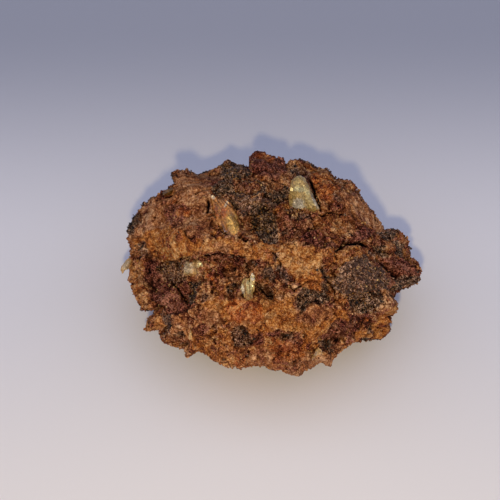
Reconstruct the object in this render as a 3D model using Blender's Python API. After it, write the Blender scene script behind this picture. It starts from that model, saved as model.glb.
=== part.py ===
"""Adamite on limonite: a hand-held lump of brown gossan with yellow-green crystals set in its hollows.

The lump rests on the flat of its underside, on z = 0. +X is its right, +Y its back and +Z is up.
Its broad face looks up and to the front, and the outline, the lumps and the crystals are laid out on
that face, as (right, up) distances in millimetres from the middle of the lump.
"""

import math
from collections import namedtuple

import bmesh
import bpy
from mathutils import Matrix, Vector, noise
from mathutils.bvhtree import BVHTree

MM = 0.001

# The lump before it is broken and worn: half its width, depth and height, and how high its middle stands.
HALF_WIDTH = 25.0
HALF_DEPTH = 21.0
HALF_HEIGHT = 15.0
MIDDLE_HEIGHT = 13.2
MESH_LEVEL = 5

# How steeply the broad face looks up, and how far away the eye stands that its outline is drawn for.
FACE_TILT = math.radians(50.0)
EYE_DISTANCE = 260.0

RIGHT = Vector((1.0, 0.0, 0.0))
UP = Vector((0.0, math.sin(FACE_TILT), math.cos(FACE_TILT)))
OUT = Vector((0.0, -math.cos(FACE_TILT), math.sin(FACE_TILT)))

# Flats where the lump broke off the vein: direction (azimuth from +X, elevation) and distance from the middle.
BROKEN_FLATS = [
    (-90.0, 48.0, 15.4),
    (-62.0, 18.0, 18.6),
    (-122.0, 12.0, 18.4),
    (-15.0, 38.0, 18.2),
    (195.0, 34.0, 18.8),
    (95.0, 52.0, 15.2),
    (48.0, 14.0, 20.0),
    (92.0, 2.0, 18.6),
    (138.0, 20.0, 19.6),
    (-28.0, -34.0, 18.4),
    (205.0, -30.0, 19.4),
    (80.0, -42.0, 15.8),
]
FLAT_SOFTNESS = 0.7
FLAT_FACING = 0.2

# Outline of the lump as the eye sees it, anticlockwise from the right, and how the lump is fitted to it: in so
# many steps round it, in so many passes, with a grip that fades towards the middle. Its broad shape is taken
# from so many steps on either side, and its fine shape fades out at a depth before and behind the rim.
OUTLINE = [
    (25.1, -1.0),
    (24.8, 0.3),
    (23.6, 1.5),
    (22.6, 5.0),
    (19.9, 6.3),
    (16.8, 9.5),
    (14.3, 12.7),
    (13.4, 14.3),
    (9.9, 15.3),
    (9.4, 16.3),
    (7.0, 17.0),
    (2.4, 17.9),
    (-0.5, 19.0),
    (-2.9, 19.4),
    (-4.2, 17.4),
    (-7.3, 17.7),
    (-13.3, 16.1),
    (-16.5, 16.2),
    (-17.5, 14.2),
    (-19.9, 12.1),
    (-22.1, 10.7),
    (-22.8, 9.2),
    (-24.8, 6.1),
    (-24.4, 2.0),
    (-24.6, -2.4),
    (-23.7, -5.1),
    (-22.5, -7.7),
    (-20.8, -7.8),
    (-21.6, -10.4),
    (-19.8, -11.4),
    (-18.4, -13.4),
    (-15.2, -14.4),
    (-14.2, -15.6),
    (-12.1, -14.9),
    (-10.4, -16.0),
    (-8.2, -17.3),
    (-5.0, -17.6),
    (-2.0, -16.8),
    (1.7, -18.0),
    (4.5, -18.8),
    (5.6, -17.6),
    (8.6, -16.5),
    (9.9, -16.8),
    (10.7, -15.6),
    (13.1, -13.5),
    (16.5, -12.9),
    (18.9, -12.4),
    (19.9, -10.7),
    (21.3, -7.6),
    (20.7, -5.4),
    (24.1, -3.2),
]
OUTLINE_STEPS = 90
OUTLINE_PASSES = 4
OUTLINE_GRIP = 8
OUTLINE_BROAD_STEPS = 6
OUTLINE_RIM_DEPTH = 5.0

# Lumps (+) and hollows (-) of the broad face: place, reach along and across, slope of the long way, rise.
Relief = namedtuple("Relief", "right up along across slope rise")
FACE_RELIEF = [
    Relief(-16.5, 4.4, 6.5, 2.4, -2.0, 1.9),     # ridge, left part
    Relief(-3.0, 3.0, 7.5, 2.2, -3.0, 1.5),      # ridge, middle part
    Relief(-17.0, -2.6, 4.0, 3.0, -35.0, -3.4),  # dark hollow under the ridge
    Relief(-7.5, -2.4, 3.6, 1.8, -10.0, -0.9),   # the ridge's foot
    Relief(-0.4, -4.2, 2.0, 1.8, 0.0, -1.9),     # pit beside the centre crystal
    Relief(-1.8, 7.0, 2.8, 3.6, 60.0, -2.2),     # dark hollow above the ridge
    Relief(2.6, 12.6, 3.6, 3.0, 0.0, -2.0),      # hollow of the wedge crystal
    Relief(-7.8, 7.6, 3.0, 4.4, 0.0, -1.7),      # hollow of the sheaf
    Relief(-1.8, 16.4, 3.4, 2.0, 0.0, 1.8),      # cap at the top
    Relief(9.0, 12.4, 1.8, 3.6, -25.0, 1.3),     # shoulder right of the wedge crystal
    Relief(15.0, -3.6, 4.8, 4.0, -30.0, 2.0),    # granular block on the right
    Relief(18.0, 1.2, 4.8, 1.1, -42.0, -2.3),    # cleft behind the granular block
    Relief(8.9, -2.8, 0.9, 3.4, 0.0, -2.1),      # cleft left of the granular block
    Relief(4.8, -0.4, 3.4, 2.6, 0.0, 1.3),       # plate between the clefts
    Relief(9.4, -12.6, 1.9, 1.6, 0.0, -1.9),     # pit near the lower edge
    Relief(-3.5, -12.0, 2.6, 1.8, 0.0, -1.2),    # dark dip in the lower middle
    Relief(3.5, -8.5, 5.5, 3.0, 10.0, 1.5),      # belly below the middle
    Relief(18.0, -10.0, 4.6, 2.6, 25.0, -3.0),   # ledge at the lower right, set back
    Relief(-14.5, -9.6, 4.0, 2.6, -20.0, 1.4),   # knob at the lower left
    Relief(22.0, -0.6, 2.4, 3.0, -40.0, 1.2),    # lobe at the right end
]

# The lumps and hollows of the face fade in from behind the middle to in front of it, along the line of sight.
FACE_FADE = (-3.0, 4.0)

# Roughness of the whole surface: wavelength and height of each size of knob, and where its pattern starts.
KNOBS = [(12.0, 1.8), (5.5, 1.1), (2.9, 0.5)]
KNOB_START = 3.1

# Space between a crystal and its socket, and the length of a roof's ridge as a share of the blade's width.
CRYSTAL_GAP = 0.3
ROOF_RIDGE = 0.55

# One blade of a crystal: the foot's place on the face, the way it leans as (right, up, out), its turn about
# its own length, its width, thickness and length, the depth its foot is sunk, how much the free end narrows
# and the height of the roof that ends it.
Blade = namedtuple("Blade", "right up lean turn width thickness length sink taper roof")

WEDGE = [
    Blade(4.5, 10.8, (-0.20, 0.80, 0.56), 20.0, 3.5, 2.9, 6.0, 1.5, 0.86, 1.1),
    Blade(6.1, 10.6, (-0.48, 0.74, 0.46), 40.0, 2.8, 2.4, 6.3, 0.7, 0.74, 0.9),
]
LEFT_PAIR = [
    Blade(-14.2, -0.9, (-0.10, 0.22, 0.97), 8.0, 2.3, 1.9, 2.8, 1.2, 0.90, 0.4),
    Blade(-13.1, -0.5, (0.20, 0.30, 0.93), 24.0, 2.2, 1.6, 4.0, 0.3, 0.84, 0.3),
]
CENTRE_GROUP = [
    Blade(-4.7, -4.1, (-0.06, 0.80, 0.58), 8.0, 2.0, 1.7, 3.5, 1.0, 0.88, 0.4),
    Blade(-5.5, -3.8, (-0.30, 0.45, 0.84), 20.0, 1.0, 1.3, 2.2, 0.9, 0.80, 0.3),
    Blade(-4.3, -2.6, (0.02, 0.84, 0.54), 35.0, 0.9, 0.8, 2.8, 0.9, 0.60, 0.6),
]
EDGE_GROUP = [
    Blade(-24.1, 0.9, (-0.58, -0.70, 0.40), 20.0, 1.0, 0.7, 3.6, 1.2, 0.80, 0.4),
    Blade(-24.1, -0.4, (-0.86, -0.36, 0.36), 60.0, 0.9, 0.7, 2.6, 1.1, 0.80, 0.3),
]
LOWER_PAIR = [
    Blade(6.9, -15.5, (0.50, 0.62, 0.60), 10.0, 0.8, 1.1, 2.9, 0.9, 0.80, 0.4),
    Blade(7.8, -14.9, (0.05, 0.72, 0.69), 40.0, 0.9, 0.8, 2.4, 0.9, 0.75, 0.4),
]
RIM_CRYSTAL = [
    Blade(-18.2, 12.5, (0.80, 0.46, 0.38), 15.0, 1.0, 0.8, 2.1, 0.9, 0.80, 0.3),
]
SLIVER = [
    Blade(-14.2, -11.7, (0.05, 0.86, 0.50), 45.0, 0.5, 0.5, 1.8, 0.9, 0.60, 0.5),
]

# The sheaf: blades that spread from one root over the face, and a side strand on their left. Every other blade
# leans a little lower, and each is turned a little further about its own length.
SHEAF_ROOT = (-7.5, 10.2)
SHEAF_BLADES = 7
SHEAF_FIRST = math.radians(-117.0)
SHEAF_LAST = math.radians(-64.0)
SHEAF_LIFT = 0.46
SHEAF_STAGGER = 0.10
SHEAF_LENGTH = 8.4
SHEAF_SIDE_LENGTH = 7.2
SHEAF_WIDTH = 1.3
SHEAF_THICKNESS = 1.2
SHEAF_SINK = 1.0
SHEAF_TAPER = 1.1
SHEAF_ROOF = 0.7
SHEAF_FIRST_TURN = 12.0
SHEAF_TURN_STEP = 9.0
SHEAF_STRAND = Blade(-10.5, 11.0, (0.34, -0.86, 0.36), 30.0, 1.0, 1.0, 4.6, 0.8, 1.0, 0.6)

GLASSY_OLIVE = (0.52, 0.47, 0.22)
GLASSY_OCHRE = (0.58, 0.42, 0.16)
GLASSY_TAN = (0.62, 0.50, 0.30)
LIMONITE_BROWN = (0.26, 0.12, 0.05)
GLASSY_ROUGHNESS = 0.2
LIMONITE_ROUGHNESS = 0.85


def clear_scene():
    """Empties the file, so that the specimen is all it holds."""
    for thing in list(bpy.data.objects):
        bpy.data.objects.remove(thing, do_unlink=True)


def new_collection(name):
    """A collection of the scene."""
    collection = bpy.data.collections.new(name)
    bpy.context.scene.collection.children.link(collection)
    return collection


def plain_material(name, colour, roughness):
    """A Principled finish of one colour."""
    material = bpy.data.materials.new(name)
    material.use_nodes = True
    shader = material.node_tree.nodes["Principled BSDF"]
    shader.inputs["Base Color"].default_value = (*colour, 1.0)
    shader.inputs["Roughness"].default_value = roughness
    shader.inputs["Metallic"].default_value = 0.0
    return material


def direction(azimuth, elevation):
    """Unit vector at an azimuth from +X and an elevation, both in degrees."""
    turn = math.radians(azimuth)
    rise = math.radians(elevation)
    return Vector((math.cos(turn) * math.cos(rise), math.sin(turn) * math.cos(rise), math.sin(rise)))


FLATS = [(direction(azimuth, elevation), distance) for azimuth, elevation, distance in BROKEN_FLATS]


def smooth_step(low, high, value):
    """0 below low, 1 above high, and a smooth rise between them."""
    share = min(1.0, max(0.0, (value - low) / (high - low)))
    return share * share * (3.0 - 2.0 * share)


def worn_radius(way):
    """Distance from the middle to the worn, broken lump's surface, along a unit vector."""
    stretched = Vector((way.x / HALF_WIDTH, way.y / HALF_DEPTH, way.z / HALF_HEIGHT))
    reaches = [1.0 / stretched.length]
    for normal, distance in FLATS:
        facing = way.dot(normal)
        if facing > FLAT_FACING:
            reaches.append(distance / facing)
    nearest = min(reaches)
    crowd = sum(math.exp((nearest - reach) / FLAT_SOFTNESS) for reach in reaches)
    return nearest - FLAT_SOFTNESS * math.log(crowd)


def face_relief(right, up, out):
    """Height of the named lumps and hollows at a place on the broad face."""
    facing = smooth_step(*FACE_FADE, out)
    height = 0.0
    for spot in FACE_RELIEF:
        slope = math.radians(spot.slope)
        off_right = right - spot.right
        off_up = up - spot.up
        along = (off_right * math.cos(slope) + off_up * math.sin(slope)) / spot.along
        across = (off_up * math.cos(slope) - off_right * math.sin(slope)) / spot.across
        height += spot.rise * math.exp(-along * along - across * across)
    return height * facing


def knobs(point):
    """Height of the irregular knobs that cover the lump."""
    height = 0.0
    for wavelength, rise in KNOBS:
        height += rise * noise.noise(point / wavelength + Vector((wavelength, 0.0, KNOB_START)))
    return height


def blank_point(way):
    """Point of the lump's surface along a unit vector from its middle, before its outline is set."""
    base = way * worn_radius(way)
    height = knobs(base) + face_relief(base.dot(RIGHT), base.dot(UP), base.dot(OUT))
    return base + way * height


def seen_at(point):
    """Place (right, up) where the eye sees a point."""
    scale = EYE_DISTANCE / (EYE_DISTANCE - point.dot(OUT))
    return point.dot(RIGHT) * scale, point.dot(UP) * scale


def wrapped(angle):
    """The same angle between -half a turn and half a turn."""
    return math.remainder(angle, math.tau)


def outline_reach(angle):
    """Distance from the middle to the outline at an angle, on the straight line between two of its points."""
    corners = sorted((math.atan2(up, right), right, up) for right, up in OUTLINE)
    after = next((i for i, corner in enumerate(corners) if corner[0] > angle), 0)
    _, right_a, up_a = corners[after - 1]
    _, right_b, up_b = corners[after]
    side_right = right_b - right_a
    side_up = up_b - up_a
    cross = right_a * side_up - up_a * side_right
    return cross / (math.cos(angle) * side_up - math.sin(angle) * side_right)


def rim_by_angle(points):
    """The farthest place seen in each of the equal angles round the middle, as (reach, depth)."""
    rim = [(0.0, 0.0)] * OUTLINE_STEPS
    for point in points:
        right, up = seen_at(point)
        step = math.floor(math.atan2(up, right) / math.tau * OUTLINE_STEPS) % OUTLINE_STEPS
        rim[step] = max(rim[step], (math.hypot(right, up), point.dot(OUT)))
    return rim


def blended(ring, place, width):
    """Mean of a ring of values round a place on it, out to a width in steps."""
    total = 0.0
    weights = 0.0
    for step in range(math.floor(place - width) + 1, math.ceil(place + width)):
        weight = 1.0 - abs(step - place) / width
        total += weight * ring[step % OUTLINE_STEPS]
        weights += weight
    return total / weights


def fit_outline(points):
    """Spreads or draws in the points across the line of sight until their outline is the lump's own."""
    for _ in range(OUTLINE_PASSES):
        rim = rim_by_angle(points)
        reaches = [reach for reach, _ in rim]
        depths = [depth for _, depth in rim]
        middles = [(step + 0.5) / OUTLINE_STEPS * math.tau for step in range(OUTLINE_STEPS)]
        ratios = [outline_reach(wrapped(angle)) / reach for angle, reach in zip(middles, reaches)]
        fitted = []
        for point in points:
            right, up = seen_at(point)
            angle = math.atan2(up, right)
            place = angle / math.tau * OUTLINE_STEPS - 0.5
            here = blended(reaches, place, 1.0)
            broad = blended(ratios, place, OUTLINE_BROAD_STEPS)
            off_rim = (point.dot(OUT) - blended(depths, place, OUTLINE_BROAD_STEPS)) / OUTLINE_RIM_DEPTH
            ratio = broad + (outline_reach(angle) / here - broad) * math.exp(-off_rim * off_rim)
            share = min(1.0, math.hypot(right, up) / here)
            spread = 1.0 + (ratio - 1.0) * share ** OUTLINE_GRIP
            across = RIGHT * point.dot(RIGHT) + UP * point.dot(UP)
            fitted.append(across * spread + OUT * point.dot(OUT))
        points = fitted
    return points


def cut_flat(bm, height):
    """Cuts the mesh off flat at a height and closes it there."""
    geometry = bm.verts[:] + bm.edges[:] + bm.faces[:]
    plane = Vector((0.0, 0.0, height))
    bmesh.ops.bisect_plane(bm, geom=geometry, plane_co=plane, plane_no=(0.0, 0.0, 1.0), clear_inner=True)
    rim = [edge for edge in bm.edges if edge.is_boundary]
    bmesh.ops.holes_fill(bm, edges=rim, sides=len(rim))
    bmesh.ops.triangulate(bm, faces=bm.faces[:])
    bmesh.ops.recalc_face_normals(bm, faces=bm.faces[:])


def matrix_mesh():
    """The limonite lump, standing on z = 0."""
    bm = bmesh.new()
    bmesh.ops.create_icosphere(bm, subdivisions=MESH_LEVEL, radius=1.0)
    points = fit_outline([blank_point(vert.co.normalized()) for vert in bm.verts])
    for vert, point in zip(bm.verts, points):
        vert.co = (point + Vector((0.0, 0.0, MIDDLE_HEIGHT))) * MM
    cut_flat(bm, 0.0)
    mesh = bpy.data.meshes.new("limonite_matrix")
    bm.to_mesh(mesh)
    bm.free()
    return mesh


def foot_point(surface, right, up):
    """Where the line of sight to a place on the face meets the lump, in metres."""
    middle = Vector((0.0, 0.0, MIDDLE_HEIGHT))
    eye = (middle + OUT * EYE_DISTANCE) * MM
    target = (middle + RIGHT * right + UP * up) * MM
    found = surface.ray_cast(eye, (target - eye).normalized())
    if found[0] is None:
        raise ValueError(f"no rock at {right}, {up}")
    return found[0]


def blade_mesh(name, blade, foot, grow):
    """A four-sided blade that narrows to a roof, stood on its foot; grow widens it all round."""
    half_width = blade.width / 2.0
    half_thickness = blade.thickness / 2.0
    shoulder = blade.length - blade.roof
    corners = []
    for level, share in ((-blade.sink - grow, 1.0), (shoulder - blade.sink + grow / 2.0, blade.taper)):
        for side_x, side_y in ((1, 1), (-1, 1), (-1, -1), (1, -1)):
            x = side_x * (half_width * share + grow)
            y = side_y * (half_thickness * share + grow)
            corners.append(Vector((x, y, level)))
    for side_x in (1, -1):
        x = side_x * (half_width * blade.taper * ROOF_RIDGE + grow)
        corners.append(Vector((x, 0.0, blade.length - blade.sink + grow)))
    axis = (RIGHT * blade.lean[0] + UP * blade.lean[1] + OUT * blade.lean[2]).normalized()
    stand = axis.to_track_quat("Z", "Y").to_matrix() @ Matrix.Rotation(math.radians(blade.turn), 3, "Z")
    bm = bmesh.new()
    for corner in corners:
        bm.verts.new(foot + (stand @ corner) * MM)
    bmesh.ops.convex_hull(bm, input=bm.verts[:])
    bmesh.ops.recalc_face_normals(bm, faces=bm.faces[:])
    mesh = bpy.data.meshes.new(name)
    bm.to_mesh(mesh)
    bm.free()
    return mesh


def sheaf_blades():
    """The blades of the sheaf, fanned out from its root."""
    blades = []
    for i in range(SHEAF_BLADES):
        share = i / (SHEAF_BLADES - 1)
        angle = SHEAF_FIRST + (SHEAF_LAST - SHEAF_FIRST) * share
        middle = 1.0 - abs(2.0 * share - 1.0)
        length = SHEAF_SIDE_LENGTH + (SHEAF_LENGTH - SHEAF_SIDE_LENGTH) * middle
        lean = (math.cos(angle), math.sin(angle), SHEAF_LIFT - SHEAF_STAGGER * (i % 2))
        turn = SHEAF_FIRST_TURN + SHEAF_TURN_STEP * i
        section = (SHEAF_WIDTH, SHEAF_THICKNESS, length, SHEAF_SINK, SHEAF_TAPER, SHEAF_ROOF)
        blades.append(Blade(*SHEAF_ROOT, lean, turn, *section))
    return [*blades, SHEAF_STRAND]


def mesh_object(name, mesh, collection):
    """An object in a collection."""
    thing = bpy.data.objects.new(name, mesh)
    collection.objects.link(thing)
    return thing


def hide_cutter(cutter):
    """Marks an object as one that only shapes another."""
    cutter.hide_render = True
    cutter.display_type = "WIRE"


def add_boolean(target, cutter, operation):
    """Joins a cutter to an object, or cuts it away."""
    modifier = target.modifiers.new(cutter.name, "BOOLEAN")
    modifier.object = cutter
    modifier.operation = operation
    modifier.solver = "EXACT"


def joined_blades(name, blades, surface, grow, collection, cutters):
    """One object of blades that have grown through each other, on one plane through the first one's foot."""
    joined = None
    first = blades[0]
    first_foot = foot_point(surface, first.right, first.up)
    for i, blade in enumerate(blades):
        aside = RIGHT * (blade.right - first.right) + UP * (blade.up - first.up)
        mesh = blade_mesh(name, blade, first_foot + aside * MM, grow)
        if joined is None:
            joined = mesh_object(name, mesh, collection)
        else:
            side_blade = mesh_object(f"{name}_blade_{i}", mesh, cutters)
            hide_cutter(side_blade)
            add_boolean(joined, side_blade, "UNION")
    return joined


def grow_crystal(name, blades, matrix, surface, specimen, cutters):
    """One crystal, and the socket in the lump that it stands in."""
    socket = joined_blades(f"{name}_socket", blades, surface, CRYSTAL_GAP, cutters, cutters)
    hide_cutter(socket)
    add_boolean(matrix, socket, "DIFFERENCE")
    return joined_blades(name, blades, surface, 0.0, specimen, cutters)


def stand_at_origin(things):
    """Moves everything so that the middle of the specimen's footprint is the origin."""
    bpy.context.view_layer.update()
    depsgraph = bpy.context.evaluated_depsgraph_get()
    corners = []
    for thing in things:
        seen = thing.evaluated_get(depsgraph)
        corners += [seen.matrix_world @ vert.co for vert in seen.data.vertices]
    middle_x = (min(corner.x for corner in corners) + max(corner.x for corner in corners)) / 2.0
    middle_y = (min(corner.y for corner in corners) + max(corner.y for corner in corners)) / 2.0
    shift = Matrix.Translation((-middle_x, -middle_y, 0.0))
    for thing in bpy.data.objects:
        if thing.type == "MESH":
            thing.data.transform(shift)


def main():
    clear_scene()
    specimen = new_collection("adamite_specimen")
    cutters = new_collection("cutters")
    matrix = mesh_object("limonite_matrix", matrix_mesh(), specimen)
    matrix.data.materials.append(plain_material("limonite_brown", LIMONITE_BROWN, LIMONITE_ROUGHNESS))
    surface = BVHTree.FromPolygons(
        [vert.co.copy() for vert in matrix.data.vertices],
        [list(face.vertices) for face in matrix.data.polygons],
    )
    crystals = {
        "adamite_wedge_crystal": (WEDGE, GLASSY_OLIVE),
        "adamite_sheaf": (sheaf_blades(), GLASSY_OCHRE),
        "adamite_left_crystal": (LEFT_PAIR, GLASSY_TAN),
        "adamite_centre_crystal": (CENTRE_GROUP, GLASSY_OLIVE),
        "adamite_edge_crystal": (EDGE_GROUP, GLASSY_TAN),
        "adamite_lower_crystal": (LOWER_PAIR, GLASSY_TAN),
        "adamite_rim_crystal": (RIM_CRYSTAL, GLASSY_OLIVE),
        "adamite_sliver": (SLIVER, GLASSY_TAN),
    }
    made = [matrix]
    for name, (blades, colour) in crystals.items():
        crystal = grow_crystal(name, blades, matrix, surface, specimen, cutters)
        crystal.data.materials.append(plain_material(f"{name}_glass", colour, GLASSY_ROUGHNESS))
        made.append(crystal)
    stand_at_origin(made)


main()
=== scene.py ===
"""Adamite on limonite: the finish of the specimen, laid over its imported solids.

The rock's rough skin is grown on the solid lump, the crystals are cut finer on their own solids, and crumbs
and druse are set on the skin. Everything is worked out in millimetres and written out in metres. The broad
face looks up and to the front, and what belongs to it is placed by (right, up) distances from the middle of
the lump, as the eye sees them.
"""

import math
from collections import namedtuple
from itertools import product

import bmesh
import bpy
import numpy as np
from mathutils import Matrix, Vector
from mathutils.bvhtree import BVHTree


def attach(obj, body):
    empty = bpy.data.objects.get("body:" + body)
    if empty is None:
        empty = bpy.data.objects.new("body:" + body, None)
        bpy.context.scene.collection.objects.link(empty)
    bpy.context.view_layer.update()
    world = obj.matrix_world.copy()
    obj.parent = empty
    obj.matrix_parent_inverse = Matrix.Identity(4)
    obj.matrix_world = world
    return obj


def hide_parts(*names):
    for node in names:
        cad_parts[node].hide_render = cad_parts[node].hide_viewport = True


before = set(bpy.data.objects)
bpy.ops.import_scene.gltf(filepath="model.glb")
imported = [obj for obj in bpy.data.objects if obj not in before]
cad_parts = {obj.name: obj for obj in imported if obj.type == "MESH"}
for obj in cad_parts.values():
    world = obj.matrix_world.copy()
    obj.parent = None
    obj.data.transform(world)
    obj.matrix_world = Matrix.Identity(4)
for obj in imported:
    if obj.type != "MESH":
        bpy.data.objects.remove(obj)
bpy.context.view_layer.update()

MM = 0.001

ROCK_SLOT = "limonite"
OLIVE_SLOT = "adamite_olive"
OCHRE_SLOT = "adamite_ochre"
TAN_SLOT = "adamite_tan"

# The lump's middle, the tilt of its broad face and the distance of the eye from it.
MIDDLE = np.array((0.163, 0.157, 13.2))
FACE_TILT = math.radians(50.0)
EYE_DISTANCE = 260.0
RIGHT = np.array((1.0, 0.0, 0.0))
UP = np.array((0.0, math.sin(FACE_TILT), math.cos(FACE_TILT)))
OUT = np.array((0.0, -math.cos(FACE_TILT), math.sin(FACE_TILT)))
EYE = MIDDLE + OUT * EYE_DISTANCE

# What the camera looks at, from the middle of the lump, and its focal length.
AIM_RIGHT = -3.91
AIM_UP = 2.55
LENS = 110.1

# The skin: quads along each side of the cube it is laid out as, and each side's margin in the atlas.
SKIN_CELLS = 222
ATLAS_MARGIN = 0.01

# How far out the lump's surface is looked for, and how near to a crystal it counts as part of a socket.
CAST_FROM = 60.0
SOCKET_REACH = 0.55

# Passes of smoothing, given for a skin of so many quads along a side and scaled to the skin's own.
PASSES_GIVEN_FOR = 128
SOCKET_PASSES = 300
FACET_PASSES = 4
HOLLOW_PASSES = 8
CREVICE_PASSES = 4

# The broad face passes into the sides where the surface turns from the eye, and where it lies deep.
FRONT_FACING = (-0.15, 0.15)
FRONT_DEPTH = (-9.0, -5.0)

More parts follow.
